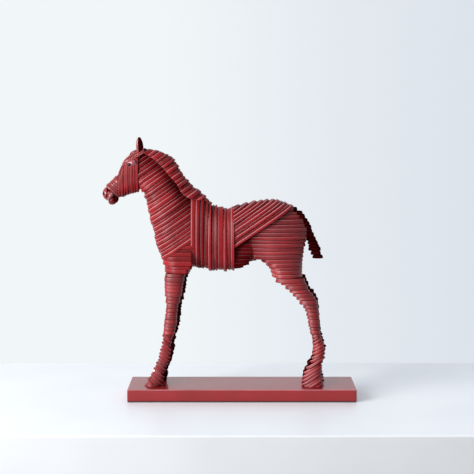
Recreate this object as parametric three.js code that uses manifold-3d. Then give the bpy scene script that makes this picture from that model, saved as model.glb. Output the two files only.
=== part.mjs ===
// A standing foal on a plain base, an ornament whose body is made of stacked slats.
// Millimetres, +Z up. The origin is the middle of the felt's underside. The foal faces -X, and its
// left side faces -Y. Outline points are [x, height above the top of the base].

import * as THREE from 'three';
import { mergeVertices } from 'three/addons/utils/BufferGeometryUtils.js';
import Module from 'manifold-3d';

const wasm = await Module();
wasm.setup();

// Base, felt and the steel that holds the legs
const clearance = 0.3;
const base = { length: 380, width: 96, thickness: 20, edge: 1.2 };
const felt = { thickness: 1.5, inset: 3 };
const baseTop = felt.thickness + base.thickness;
const rod = { radius: 2.5, sides: 6, steps: 11, stub: 1, footing: 22, grip: 14 };
const washer = { radius: 5, thickness: 1, sides: 10 };
const nut = { radius: 4.6, thickness: 4, sides: 6 };
const counterbore = { radius: washer.radius + 1.5, depth: 8, sides: 10 };
const rodHole = { radius: rod.radius + 0.7, sides: 8 };

// Slats: thickness of a slat, and how far it stands proud of the one beside it
const legSlat = { pitch: 6.5, step: 1 };
const shinSlat = { pitch: 4.9, step: 1 };
const thighSlat = { pitch: 6.5, step: 1 };
const bodySlat = { pitch: 6.5, step: 0.8 };
const neckSlat = { pitch: 5.8, step: 1.2 };
const loinSlat = { pitch: 5.1, step: 1.3 };
const girthSlat = { pitch: 6.6, step: 1.5 };
const maneBlock = { pitch: 6.8, step: 1.4 };
const tailSlat = { pitch: 6.2, step: 1.3 };
const faceSlat = { pitch: 4.3, step: 0.6 };
const browSlat = { pitch: 3.4, step: 0.5 };
const noseSlat = { pitch: 3.9, step: 0.6 };
const unevenness = 0.16;
const fullness = 2.2;

// Slopes of the slats in degrees, positive where a slat rises towards the tail
const slope = {
  foreShin: -48, hindShin: 33, neck: 34, mane: 35, loin: 34, muzzle: -44, forehead: 31, mouth: 47,
};

// Planes where one part of the body meets the next
const girth = { front: -84.5, back: -12.5 };
const chestHeight = 191;
const haunchHeight = 183;
const shoulderFoot = [-108, 227.5];
const neckFoot = [-151, 276.5];
const loinFoot = [40, 269];
const jaw = 322;
const cheekBack = -171;
const cheekFront = -205;
const brow = [-172, 382.3];
const pollBack = -162;
const noseBack = [-214, 323.5];
const mouth = [-217, 313.8];
const overHead = 480;
const behindTail = 200;
const underBelly = 150;

// Legs, as seen from the left
const foreLeg = {
  name: 'fore',
  centre: 18.5,
  farShift: 4.5,
  front: [
    [-162, 0], [-152.5, 18], [-146.7, 29.7], [-140.8, 42.8], [-136.7, 57], [-132.8, 73], [-131, 90],
    [-129.3, 109], [-126.5, 130], [-127.2, 150], [-129, 172], [-128, 195],
  ],
  back: [
    [-134, 0], [-131, 10], [-130, 21], [-124, 37], [-119, 54], [-118.5, 66], [-116.9, 77.5],
    [-111.5, 95], [-108.6, 109.5], [-107, 130], [-101, 153], [-95.5, 182], [-91, 195],
  ],
  halfWidths: [
    [-148, 0, 12], [-140, 20, 11], [-135, 35, 9], [-129, 52, 8], [-125, 75, 8.5], [-121, 97, 10],
    [-117, 130, 10.5], [-114, 150, 12], [-112, 172, 13.5], [-110, 195, 14.5],
  ],
  shinSlope: slope.foreShin,
  toe: [-162, 0],
  shinTop: [-108, 88],
  slat: legSlat,
  top: chestHeight,
};
const hindLeg = {
  name: 'hind',
  centre: 19,
  farShift: 3.5,
  front: [
    [100, 0], [100.2, 10], [103, 21], [109.5, 32.6], [115.5, 44], [118.5, 60], [117.5, 79], [112.6, 96],
    [109.3, 115], [104.1, 132], [94, 145], [80.5, 159.5], [68, 171], [56, 179], [49, 190],
  ],
  back: [
    [136.5, 0], [134.5, 12], [132.5, 23], [133.5, 36], [138.5, 58], [134.5, 74], [131, 88], [129.5, 105],
    [127.5, 124], [126, 138], [121, 151], [113.5, 160], [108, 170], [103, 184], [101, 192],
  ],
  halfWidths: [
    [118, 0, 12], [117, 15, 11], [119, 30, 9], [125, 45, 10], [127, 60, 10.5], [125, 78, 9], [121, 100, 9],
    [117, 124, 10.5], [110, 145, 13], [95, 165, 14.5], [79, 184, 15.3], [76, 192, 15.3],
  ],
  shinSlope: slope.hindShin,
  toe: [136.5, 0],
  shinTop: [112, 88],
  slat: thighSlat,
  top: haunchHeight,
};

// Lines where one part overlaps another, each from its upper to its lower end
const maneLine = [
  [-161, 388], [-154, 385], [-145, 378.5], [-135, 369.5], [-125, 358.5], [-117, 348.5], [-110, 340.5],
  [-105, 334], [-100, 324], [-92.5, 317.5], [-82.5, 313], [-62, 311.5], [-50, 303],
];
const tailLine = [
  [76, 300], [84, 294.5], [91.6, 286], [98.8, 276.5], [103.6, 267], [106.3, 255], [107, 245], [110, 238],
  [111.4, 228.5], [114.4, 221], [119.5, 213],
];
const stifleLine = [
  [-6, 262], [4, 254], [11, 247], [15, 241], [18, 232], [19, 224], [20, 216], [24, 210], [34, 205],
];

function finish(color, roughness, metalness = 0) {
  return new THREE.MeshStandardMaterial({ color, roughness, metalness, flatShading: true });
}
const lacquer = finish(0x8c2d35, 0.38);
const darkLacquer = finish(0x5e1a22, 0.3);
const baseLacquer = finish(0x9a3a42, 0.35);
const feltCloth = finish(0x1d1a1b, 1);
const steel = finish(0xb4b7ba, 0.35, 1);

// A solid that can be joined and cut, from any closed geometry.
function solidOf(geometry) {
  const bare = geometry.clone();
  bare.deleteAttribute('normal');
  bare.deleteAttribute('uv');
  const merged = mergeVertices(bare, 1e-4);
  return new wasm.Manifold(new wasm.Mesh({
    numProp: 3,
    vertProperties: new Float32Array(merged.attributes.position.array),
    triVerts: new Uint32Array(merged.index.array),
  }));
}

// The geometry of a solid after it is joined and cut.
function geometryOf(solid) {
  const { vertProperties, triVerts } = solid.getMesh();
  const geometry = new THREE.BufferGeometry();
  geometry.setAttribute('position', new THREE.BufferAttribute(vertProperties, 3));
  geometry.setIndex(new THREE.BufferAttribute(triVerts, 1));
  return geometry;
}

// A smooth curve through a few [at, value] points, read at any place and level past its ends.
function smoothThrough(points) {
  const knots = [...points].sort((a, b) => a[0] - b[0]);
  const last = knots.length - 1;
  const rise = knots.map((knot, i) => {
    const [before, after] = [knots[Math.max(i - 1, 0)], knots[Math.min(i + 1, last)]];
    return (after[1] - before[1]) / (after[0] - before[0]);
  });
  return (at) => {
    const inside = THREE.MathUtils.clamp(at, knots[0][0], knots[last][0]);
    const i = Math.max(knots.findIndex((knot) => knot[0] >= inside), 1);
    const length = knots[i][0] - knots[i - 1][0];
    const t = (inside - knots[i - 1][0]) / length;
    return knots[i - 1][1] * (1 + 2 * t) * (1 - t) ** 2 + knots[i][1] * t * t * (3 - 2 * t)
      + length * (rise[i - 1] * t * (1 - t) ** 2 - rise[i] * t * t * (1 - t));
  };
}

// A side-view point in a slat's own directions: s runs along the slat and n across the stack.
function alongSlat(angle, [x, height]) {
  const turn = THREE.MathUtils.degToRad(angle);
  const z = height + baseTop;
  return { s: x * Math.cos(turn) + z * Math.sin(turn), n: z * Math.cos(turn) - x * Math.sin(turn) };
}

// An outline in a slat's own directions: how far along the slat it lies at each place in the stack.
function outlineAcross(angle, points) {
  return smoothThrough(points.map((point) => {
    const { s, n } = alongSlat(angle, point);
    return [n, s];
  }));
}

// Half widths or radii given at side-view points, read at each place in the stack.
function valuesAcross(angle, points) {
  return smoothThrough(points.map((point) => [alongSlat(angle, point).n, point[2]]));
}

// The share of its full width that a slat has at a distance in from a rounded end.
function rounded(distance, radius) {
  const left = 1 - THREE.MathUtils.clamp(distance / radius, 0, 1);
  return (1 - left ** fullness) ** (1 / fullness);
}

// The outline of one slat: two edges from its low end to its high end, closer points at the ends.
function slatShape(low, high, halfWidth, edgePoints, centre) {
  const edge = [];
  for (let i = 0; i <= edgePoints; i += 1) {
    const s = (low + high) / 2 - (high - low) / 2 * Math.cos(Math.PI * i / edgePoints);
    edge.push(new THREE.Vector2(s, halfWidth(s)));
  }
  const tipWidth = 0.2;
  const lower = edge.map(({ x, y }) => new THREE.Vector2(x, centre - y));
  const upper = edge.filter(({ y }) => y > tipWidth).map(({ x, y }) => new THREE.Vector2(x, centre + y));
  return new THREE.Shape([...lower, ...upper.reverse()]);
}

// One slat from its outline, between two exact places in the stack.
function slatPlate(shape, bottom, top) {
  const plate = new THREE.ExtrudeGeometry(shape, { depth: 1, bevelEnabled: false });
  const { position } = plate.attributes;
  for (let i = 0; i < position.count; i += 1) {
    position.setZ(i, position.getZ(i) < 0.5 ? bottom : top);
  }
  return solidOf(plate);
}

// A stack of slats between a low and a high outline. Slats differ a little in thickness, and each
// second one stands proud. The radii round a slat's two ends, and section narrows it by place.
function slatStack({
  angle, from, to, low, high, halfWidths, slat, edgePoints, centre = 0, lowRadii, highRadii, section,
}) {
  const lowAt = outlineAcross(angle, low);
  const highAt = outlineAcross(angle, high);
  const widthAt = valuesAcross(angle, halfWidths);
  const lowRadiusAt = lowRadii && valuesAcross(angle, lowRadii);
  const highRadiusAt = highRadii && valuesAcross(angle, highRadii);
  const turn = THREE.MathUtils.degToRad(angle);
  const start = alongSlat(angle, from).n;
  const length = alongSlat(angle, to).n - start;
  const count = Math.max(Math.round(length / slat.pitch), 1);
  const placeOf = (k) => start + length * (k + wobble(k, count)) / count;
  let stack = null;
  for (let k = 0; k < count; k += 1) {
    const [bottom, top] = [placeOf(k), placeOf(k + 1)];
    const n = (bottom + top) / 2;
    const proud = slat.step * ((k % 2 ? -0.5 : 0.5) + 0.3 * Math.sin(1.7 * k));
    const [lowEnd, highEnd] = [lowAt(n) - proud, highAt(n) + proud];
    const round = (highEnd - lowEnd) / 2;
    const narrowed = (s) => {
      const [x, z] = [s * Math.cos(turn) - n * Math.sin(turn), s * Math.sin(turn) + n * Math.cos(turn)];
      return section ? section(x, z) : 1;
    };
    const halfWidth = (s) => (widthAt(n) + proud) * narrowed(s)
      * rounded(s - lowEnd, lowRadiusAt ? lowRadiusAt(n) : round)
      * rounded(highEnd - s, highRadiusAt ? highRadiusAt(n) : round);
    const plate = slatPlate(slatShape(lowEnd, highEnd, halfWidth, edgePoints, centre), bottom, top);
    stack = stack ? stack.add(plate) : plate;
  }
  return solidOf(geometryOf(stack).rotateY(-turn));
}

// How far a slat's face is out of an even spacing, as a share of one slat; none at the stack's ends.
function wobble(k, count) {
  return k === 0 || k === count ? 0 : unevenness * Math.sin(2.4 * k);
}

// All space on the upper side of a sloping plane through a side-view point, moved off by a gap.
// At 90 degrees that is the side towards the head.
function spaceAbove(angle, point, gap = 0) {
  const reach = 900;
  const { n } = alongSlat(angle, point);
  const block = new THREE.BoxGeometry(2 * reach, base.width * 2, reach);
  block.translate(0, 0, n + gap + reach / 2);
  return solidOf(block.rotateY(-THREE.MathUtils.degToRad(angle)));
}

// The same for the lower side, where a gap below zero leaves room above the plane.
function spaceBelow(angle, point, gap = 0) {
  return spaceAbove(angle + 180, point, gap);
}

// All space inside a closed side-view outline, through the whole width, moved by [x, z].
function spaceInside(points, [moveX, moveZ] = [0, 0]) {
  const depth = base.width * 2;
  const shape = new THREE.Shape(points.map(([x, height]) => new THREE.Vector2(x, height + baseTop)));
  const block = new THREE.ExtrudeGeometry(shape, { depth, bevelEnabled: false });
  return solidOf(block.rotateX(Math.PI / 2).translate(moveX, depth / 2, moveZ));
}

// Closed outlines of all space over a line, and of all space over it or on its tail side.
function outlineOver(line) {
  return [...line, [line.at(-1)[0], overHead], [line[0][0], overHead]];
}
function outlineBehind(line) {
  const below = [line.at(-1)[0], underBelly];
  return [...line, below, [behindTail, underBelly], [behindTail, overHead], [line[0][0], overHead]];
}
const maneSpace = outlineOver(maneLine);
const tailSpace = outlineBehind(tailLine);
const haunchSpace = outlineBehind(stifleLine);

const horse = new THREE.Group();

function addMesh(name, geometry, material) {
  const mesh = new THREE.Mesh(geometry, material);
  mesh.name = name;
  horse.add(mesh);
}

function addSolid(name, solid, material = lacquer) {
  addMesh(name, geometryOf(solid), material);
}

// The two sides of the body and the four legs, where the right ones stand a little further back
const sides = [
  { name: 'left', way: -1, shift: 0 },
  { name: 'right', way: 1, shift: 1 },
];
const legs = [foreLeg, hindLeg].flatMap((leg) => sides.map((side) => {
  const shifted = ([x, ...rest]) => [x + side.shift * leg.farShift, ...rest];
  return {
    ...leg,
    side: side.name,
    centre: side.way * leg.centre,
    front: leg.front.map(shifted),
    back: leg.back.map(shifted),
    halfWidths: leg.halfWidths.map(shifted),
    toe: shifted(leg.toe),
    shinTop: shifted(leg.shinTop),
  };
}));

// Where the middle line of a leg lies at a height above the base.
function legMiddle(leg, height) {
  const [front, back] = [leg.front, leg.back].map((line) => smoothThrough(line.map(([x, h]) => [h, x])));
  return (front(height) + back(height)) / 2;
}

// The line of a leg's rod, from a straight foot in the base up into the body.
function rodPath(leg, bottom) {
  const pointAt = (x, z) => new THREE.Vector3(x, leg.centre, z);
  const straight = [bottom, baseTop, baseTop + rod.footing].map((z) => pointAt(legMiddle(leg, 0), z));
  const heights = [0.2, 0.35, 0.5, 0.65, 0.8, 1].map((share) => share * (leg.top + rod.grip));
  const bent = heights.map((height) => pointAt(legMiddle(leg, height), height + baseTop));
  return new THREE.CatmullRomCurve3([...straight, ...bent]);
}

function tubeAlong(path, radius) {
  const outline = new THREE.Shape(polygon(radius, rod.sides));
  return new THREE.ExtrudeGeometry(outline, { steps: rod.steps, extrudePath: path });
}

function polygon(radius, sideCount) {
  const points = [];
  for (let i = 0; i < sideCount; i += 1) {
    const turn = 2 * Math.PI * i / sideCount;
    points.push(new THREE.Vector2(radius * Math.cos(turn), radius * Math.sin(turn)));
  }
  return points;
}

// A flat ring with a round hole, such as a washer or a nut, standing on a given height.
function ring(radius, sideCount, holeRadius, bottom, thickness) {
  const shape = new THREE.Shape(polygon(radius, sideCount));
  shape.holes.push(new THREE.Path(polygon(holeRadius, washer.sides)));
  const geometry = new THREE.ExtrudeGeometry(shape, { depth: thickness, bevelEnabled: false });
  return geometry.translate(0, 0, bottom);
}

function upright(radius, sideCount, bottom, top) {
  const geometry = new THREE.CylinderGeometry(radius, radius, top - bottom, sideCount);
  return geometry.rotateX(Math.PI / 2).translate(0, 0, (top + bottom) / 2);
}

// Base, with a stepped hole from below for each leg's rod, and the felt under it
function basePlate() {
  const [halfLength, halfWidth] = [base.length / 2 - base.edge, base.width / 2 - base.edge];
  const outline = new THREE.Shape([
    new THREE.Vector2(-halfLength, -halfWidth), new THREE.Vector2(halfLength, -halfWidth),
    new THREE.Vector2(halfLength, halfWidth), new THREE.Vector2(-halfLength, halfWidth),
  ]);
  const slab = new THREE.ExtrudeGeometry(outline, {
    depth: base.thickness - 2 * base.edge,
    bevelThickness: base.edge,
    bevelSize: base.edge,
    bevelSegments: 2,
  });
  slab.translate(0, 0, felt.thickness + base.edge);
  let plate = solidOf(slab);
  for (const leg of legs) {
    const x = legMiddle(leg, 0);
    const hole = upright(rodHole.radius, rodHole.sides, 0, baseTop + 1).translate(x, leg.centre, 0);
    const recess = upright(counterbore.radius, counterbore.sides, 0, felt.thickness + counterbore.depth);
    plate = plate.subtract(solidOf(hole)).subtract(solidOf(recess.translate(x, leg.centre, 0)));
  }
  return plate;
}
addSolid('base_plate', basePlate(), baseLacquer);

const [feltLength, feltWidth] = [base.length - 2 * felt.inset, base.width - 2 * felt.inset];
const feltSheet = new THREE.BoxGeometry(feltLength, feltWidth, felt.thickness);
addMesh('base_felt', feltSheet.translate(0, 0, felt.thickness / 2), feltCloth);

// Legs: a steel rod with a washer and a nut in the base, and a lower and an upper stack of slats
const washerBottom = felt.thickness + counterbore.depth - washer.thickness;
const nutBottom = washerBottom - nut.thickness;
const rodBottom = nutBottom - rod.stub;
const boreRadius = rod.radius + clearance;
const bores = [];
for (const leg of legs) {
  const label = `${leg.name}_${leg.side}`;
  const path = rodPath(leg, rodBottom);
  const bore = solidOf(tubeAlong(path, boreRadius));
  bores.push(bore);
  const bar = solidOf(tubeAlong(path, rod.radius));
  addSolid(`rod_${label}`, bar.subtract(spaceAbove(0, [0, leg.top + rod.grip - 3 * clearance])), steel);
  const washerRing = ring(washer.radius, washer.sides, boreRadius, washerBottom, washer.thickness);
  addMesh(`washer_${label}`, washerRing.translate(legMiddle(leg, 0), leg.centre, 0), steel);
  const nutRing = ring(nut.radius, nut.sides, boreRadius, nutBottom, nut.thickness);
  addMesh(`nut_${label}`, nutRing.translate(legMiddle(leg, 0), leg.centre, 0), steel);

  const outline = {
    low: leg.front, high: leg.back, halfWidths: leg.halfWidths, centre: leg.centre, edgePoints: 4,
  };
  const shin = slatStack({
    ...outline,
    angle: leg.shinSlope,
    from: leg.toe,
    to: leg.shinTop,
    slat: shinSlat,
  });
  addSolid(`${leg.name}leg_lower_${leg.side}`, shin
    .subtract(spaceBelow(0, [0, 0], -clearance))
    .subtract(spaceAbove(0, leg.shinTop))
    .subtract(bore));
  const forearm = slatStack({
    ...outline,
    angle: 0,
    from: [0, leg.shinTop[1] + clearance],
    to: [0, leg.top - clearance],
    slat: leg.slat,
  });
  addSolid(`${leg.name}leg_upper_${leg.side}`, forearm.subtract(bore));
}
const [foreLeftBore, foreRightBore, hindLeftBore, hindRightBore] = bores;

// Trunk: chest, girth band, flank, haunch and loin
const bellyHeight = smoothThrough([[-12.5, 194], [0, 197.5], [10, 203.5], [20, 210.5], [30, 216]]);
const crestHeight = smoothThrough([
  [-84, 314.5], [-100, 328.5], [-112, 345.5], [-125, 364], [-140, 383], [-152, 392], [-162, 396],
]);

const chest = slatStack({
  angle: 0,
  from: [0, chestHeight],
  to: [0, 246],
  low: [[-128, 190], [-129, 196], [-130, 203], [-133, 212], [-137, 222], [-142, 233], [-145, 246]],
  high: [
    [girth.front - 4.5, 190], [girth.front - 1.5, 195], [girth.front + 4.5, 199], [girth.front + 4.5, 246],
  ],
  halfWidths: [[0, 190, 31.5], [0, 246, 33]],
  lowRadii: [[0, 190, 26], [0, 246, 30]],
  highRadii: [[0, 190, 6], [0, 246, 4]],
  slat: legSlat,
  edgePoints: 6,
});
addSolid('chest', chest
  .subtract(spaceAbove(slope.neck, shoulderFoot))
  .subtract(spaceBelow(90, [girth.front, 0], -clearance))
  .subtract(foreLeftBore)
  .subtract(foreRightBore));

const girthBand = slatStack({
  angle: 90,
  from: [girth.back, 0],
  to: [girth.front, 0],
  low: [
    [-84, 199.5], [-74, 197.5], [-60, 196], [-52, 192.5], [-46, 192], [-40, 195], [-28, 191], [-20, 194],
    [-13, 194],
  ],
  high: [[-84, 316], [-64, 314], [-50, 303.5], [-40, 301], [-26, 297], [-13, 299.5]],
  halfWidths: [[-84, 0, 34.5], [-48, 0, 36], [-13, 0, 35]],
  slat: girthSlat,
  edgePoints: 7,
});
addSolid('girth_band', girthBand.subtract(spaceInside(maneSpace)));

const flank = slatStack({
  angle: 0,
  from: [0, 194.5],
  to: [0, 262],
  low: [[girth.back - 12, 190], [girth.back - 12, 262]],
  high: [[-8, 195], [2, 199], [10, 204], [17, 208.5], [26, 213], [34, 217], [34, 262]],
  halfWidths: [[0, 190, 28], [0, 262, 29]],
  lowRadii: [[0, 190, 4], [0, 262, 4]],
  highRadii: [[0, 190, 4], [0, 262, 4]],
  section: (x, z) => rounded(z - baseTop - bellyHeight(x), 34),
  slat: bodySlat,
  edgePoints: 5,
});
addSolid('flank', flank
  .subtract(spaceAbove(90, [girth.back, 0], -clearance))
  .subtract(spaceAbove(slope.loin, loinFoot))
  .subtract(spaceInside(haunchSpace, [-clearance, 0])));

const haunch = slatStack({
  angle: 0,
  from: [0, haunchHeight],
  to: [0, 299],
  low: [
    [52, 183], [48.5, 190], [46, 198], [42, 203], [38, 208], [30, 213], [16, 217], [14, 232], [-2, 241],
    [-24, 258], [-30, 299],
  ],
  high: [
    [100.5, 183], [101.4, 194], [101, 206], [103, 223], [106, 238], [109, 250], [109.5, 262], [105, 275],
    [98, 285], [90, 294], [86, 299],
  ],
  halfWidths: [
    [0, 183, 34], [0, 215, 35], [0, 240, 34.5], [0, 258, 32.5], [0, 273, 28.5], [0, 285, 22], [0, 299, 12],
  ],
  lowRadii: [
    [0, 183, 18], [0, 206, 18], [0, 216, 10], [0, 232, 12], [0, 241, 34], [0, 258, 60], [0, 299, 60],
  ],
  highRadii: [[0, 183, 26], [0, 206, 40], [0, 230, 62], [0, 275, 62], [0, 299, 30]],
  slat: thighSlat,
  edgePoints: 8,
});
addSolid('haunch', haunch
  .subtract(spaceAbove(slope.loin, loinFoot))
  .subtract(spaceInside(tailSpace))
  .intersect(spaceInside(haunchSpace))
  .subtract(hindLeftBore)
  .subtract(hindRightBore));

const loin = slatStack({
  angle: slope.loin,
  from: loinFoot,
  to: [girth.back, 299.5],
  low: [[girth.back - 28, 200], [girth.back - 28, 320]],
  high: [
    [-12.5, 300], [12, 307], [25, 309.5], [45, 311.5], [55, 312.5], [62, 310], [70, 307.5], [82, 303],
    [90, 297.5],
  ],
  halfWidths: [[40, 269, 34.5], [-12.5, 300, 34]],
  lowRadii: [[0, 250, 4], [0, 300, 4]],
  highRadii: [[40, 269, 58], [-12.5, 300, 90]],
  slat: loinSlat,
  edgePoints: 7,
});
addSolid('loin', loin
  .subtract(spaceAbove(90, [girth.back, 0], -clearance))
  .subtract(spaceBelow(slope.loin, loinFoot, -clearance)));

const tail = slatStack({
  angle: 0,
  from: [0, 213],
  to: [0, 299],
  low: tailLine.map(([x, height]) => [x + clearance, height]),
  high: [
    [138, 213], [134.5, 218], [130, 233], [124.6, 244.5], [119.2, 256], [114.4, 269], [107.8, 280],
    [102.4, 287], [97, 293], [88, 299],
  ],
  halfWidths: [[0, 213, 6], [0, 235, 8], [0, 270, 9], [0, 299, 8]],
  slat: tailSlat,
  edgePoints: 3,
});
addSolid('tail', tail
  .intersect(spaceInside(tailSpace, [clearance, clearance]))
  .subtract(spaceAbove(slope.loin, loinFoot, -clearance)));

// Neck, shoulder and mane
const shoulder = slatStack({
  angle: slope.neck,
  from: shoulderFoot,
  to: neckFoot,
  low: [
    [-129.5, 204], [-131, 207], [-137, 219.5], [-142.4, 233], [-145, 246.5], [-148, 261.5],
    [-152.5, 275.5],
  ],
  high: [[girth.front + 10, 200], [girth.front + 10, 330]],
  halfWidths: [[-108, 227.5, 33], [-84.5, 322, 34]],
  lowRadii: [[-108, 227.5, 34], [-84.5, 322, 36]],
  highRadii: [[-108, 227.5, 4], [-84.5, 322, 4]],
  section: (x, z) => rounded(crestHeight(x) - z + baseTop, 80),
  slat: neckSlat,
  edgePoints: 5,
});
addSolid('shoulder', shoulder
  .subtract(spaceBelow(slope.neck, shoulderFoot, -clearance))
  .subtract(spaceBelow(90, [girth.front, 0], -clearance))
  .subtract(spaceInside(maneSpace)));

const crest = [
  [-50, 304], [-66, 323], [-81, 335], [-95, 349.5], [-105, 367], [-113, 380.5], [-127, 388.5], [-146, 394.5],
  [-160, 395.5],
];
const neck = slatStack({
  angle: slope.neck,
  from: neckFoot,
  to: [pollBack + 2, brow[1] + 9],
  low: [
    [-152, 276], [-154.8, 287], [-156.6, 294.5], [-158, 304.5], [-162, 316.5], [-164, 324], [-176, 333],
    [-187, 352], [-187, 375],
  ],
  high: crest,
  halfWidths: [[-151, 276.5, 30], [-157, 305, 25], [-165, 333, 19], [-172, 355, 16.5], [-160, 391, 14]],
  lowRadii: [[-151, 276.5, 30], [-165, 333, 20], [-160, 391, 14]],
  highRadii: [[-151, 276.5, 4], [-160, 391, 4]],
  section: (x, z) => rounded(crestHeight(x) - z + baseTop, 75),
  slat: neckSlat,
  edgePoints: 5,
});
const neckBelowHead = neck
  .subtract(spaceBelow(slope.neck, neckFoot, -clearance))
  .subtract(spaceInside(outlineOver([[-300, jaw], [cheekBack, jaw]]), [clearance, 0]))
  .subtract(spaceAbove(slope.forehead, brow))
  .subtract(spaceInside(maneSpace))
  .subtract(spaceBelow(90, [girth.front, 0], -clearance));

const mane = slatStack({
  angle: slope.mane,
  from: [-52, 303],
  to: [pollBack, 398],
  low: maneLine.map(([x, height]) => [x - 6, height - 8]),
  high: crest,
  halfWidths: [[-52, 303, 13], [-80, 325, 17], [-130, 380, 17], [-160, 391, 13]],
  lowRadii: [[-52, 303, 5], [-160, 391, 5]],
  highRadii: [[-52, 303, 12], [-100, 350, 24], [-160, 391, 16]],
  slat: maneBlock,
  edgePoints: 4,
});
addSolid('mane', mane
  .intersect(spaceInside(maneSpace, [0, 1.5 * clearance]))
  .subtract(spaceAbove(90, [pollBack, 0], -2 * clearance)));

// Head: cheeks, forehead, muzzle, nose and chin
const cheeks = slatStack({
  angle: 90,
  from: [cheekBack, 0],
  to: [cheekFront, 0],
  low: [[-205, 314], [-201, 316], [-196, 316], [-190, 319], [-180, 322], [-171, 324]],
  high: [[-171, 392], [-180, 391], [-190, 386], [-197, 375], [-202, 364], [-205, 354]],
  halfWidths: [[-171, 0, 16.5], [-185, 0, 16.5], [-205, 0, 14]],
  lowRadii: [[-171, 0, 22], [-205, 0, 16]],
  highRadii: [[-171, 0, 44], [-190, 0, 36], [-205, 0, 22]],
  slat: faceSlat,
  edgePoints: 5,
});
const cheeksBelowBrow = cheeks.subtract(spaceAbove(slope.forehead, brow));

const forehead = slatStack({
  angle: slope.forehead,
  from: brow,
  to: [brow[0] - 13, brow[1] + 7.7],
  low: [[-202, 364], [-200, 368.5], [-195, 377.5], [-188, 384.5], [-185, 389.5]],
  high: [[-150, 378.5], [-160, 396.5], [-166, 396.5], [-172, 395.5], [-178, 393.5]],
  halfWidths: [[-172, 379.5, 14], [-185, 390, 9]],
  lowRadii: [[-172, 379.5, 14], [-185, 390, 10]],
  highRadii: [[-172, 379.5, 8], [-185, 390, 10]],
  slat: browSlat,
  edgePoints: 5,
});
const foreheadAboveBrow = forehead
  .subtract(spaceBelow(slope.forehead, brow, -clearance))
  .subtract(spaceBelow(90, [pollBack, 0]));

const muzzle = slatStack({
  angle: slope.muzzle,
  from: noseBack,
  to: [cheekFront + 2, noseBack[1] + 34.5],
  low: [[-231, 325], [-229, 329.5], [-227, 334], [-219, 341.5], [-210, 350.5], [-206, 353], [-203, 357]],
  high: [[-214, 307], [-208, 311], [-203, 315], [-196, 322], [-180, 340]],
  halfWidths: [[-229, 329.5, 11], [-219, 341.5, 11.5], [-203, 358, 14]],
  slat: noseSlat,
  edgePoints: 5,
});
addSolid('muzzle', muzzle.subtract(spaceBelow(90, [cheekFront, 0], -clearance)));

// An egg-shaped solid, with radii along its length, across and up, tipped nose down by an angle.
function egg([lengthRadius, widthRadius, heightRadius], tip, [x, height], centre = 0, detail = 8) {
  const ball = new THREE.SphereGeometry(1, detail, Math.round(detail * 0.7));
  ball.rotateX(Math.PI / 2).scale(lengthRadius, widthRadius, heightRadius);
  return ball.rotateY(THREE.MathUtils.degToRad(tip)).translate(x, centre, height + baseTop);
}
const nose = solidOf(egg([13, 11, 13], slope.muzzle, [-219.3, 321.6], 0, 16));
addSolid('nose', nose
  .subtract(spaceAbove(slope.muzzle, noseBack, -clearance))
  .subtract(spaceBelow(slope.mouth, mouth, -clearance)));

const chin = solidOf(egg([11, 8.5, 8], -slope.mouth, [-213.4, 312.2], 0, 14));
addSolid('chin', chin
  .subtract(spaceAbove(slope.muzzle, noseBack, -clearance))
  .subtract(spaceAbove(slope.mouth, mouth))
  .subtract(spaceBelow(90, [cheekFront, 0], -clearance)));

// Ears stand in sockets in the poll, and eyes in sockets under the brow
const ear = {
  length: 33.8, radius: 5.5, foot: [-167.8, 382], lean: -5, splay: 8, centre: 7.5, thinness: 0.7,
  outline: [
    [0, 0], [0.84, 0], [0.95, 0.25], [1, 0.5], [0.93, 0.66], [0.77, 0.79], [0.5, 0.9], [0.24, 0.97], [0, 1],
  ],
};
const eye = { radii: [9.5, 3.2, 5], tip: -8, place: [-181, 372.6], centre: 12.6 };
function earAt(way, extra) {
  const profile = ear.outline.map(([width, height]) => new THREE.Vector2(
    width * ear.radius + (width > 0 ? extra : 0),
    height * ear.length - (height === 0 ? extra : 0),
  ));
  const leaf = new THREE.LatheGeometry(profile, 8).rotateX(Math.PI / 2).scale(1, ear.thinness, 1);
  leaf.rotateY(THREE.MathUtils.degToRad(ear.lean)).rotateX(-way * THREE.MathUtils.degToRad(ear.splay));
  return solidOf(leaf.translate(ear.foot[0], way * ear.centre, ear.foot[1] + baseTop));
}
function eyeAt(way, extra) {
  const radii = eye.radii.map((radius) => radius + extra);
  return solidOf(egg(radii, eye.tip, eye.place, way * eye.centre, 12));
}
let head = { neck: neckBelowHead, cheeks: cheeksBelowBrow, forehead: foreheadAboveBrow };
for (const { name, way } of sides) {
  const sockets = earAt(way, clearance).add(eyeAt(way, clearance));
  head = Object.fromEntries(Object.entries(head).map(([part, solid]) => [part, solid.subtract(sockets)]));
  addSolid(`ear_${name}`, earAt(way, 0));
  addSolid(`eye_${name}`, eyeAt(way, 0), darkLacquer);
}
for (const [part, solid] of Object.entries(head)) addSolid(part, solid);

export default horse;
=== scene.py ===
# %% [markdown]
# A foal built from slats
#
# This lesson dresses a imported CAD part: a red lacquered foal on a plain base. Its body is made of
# stacked slats, and every body part has slats in its own direction. The CAD part gives the
# measured outlines with plain slats. Here each stack is worked out again as one fine surface with
# rounded slats and dark grooves, and gets a lacquer finish. The part is loaded first, because
# every piece that follows has to sit where the part says.

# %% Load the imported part
import math

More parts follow.
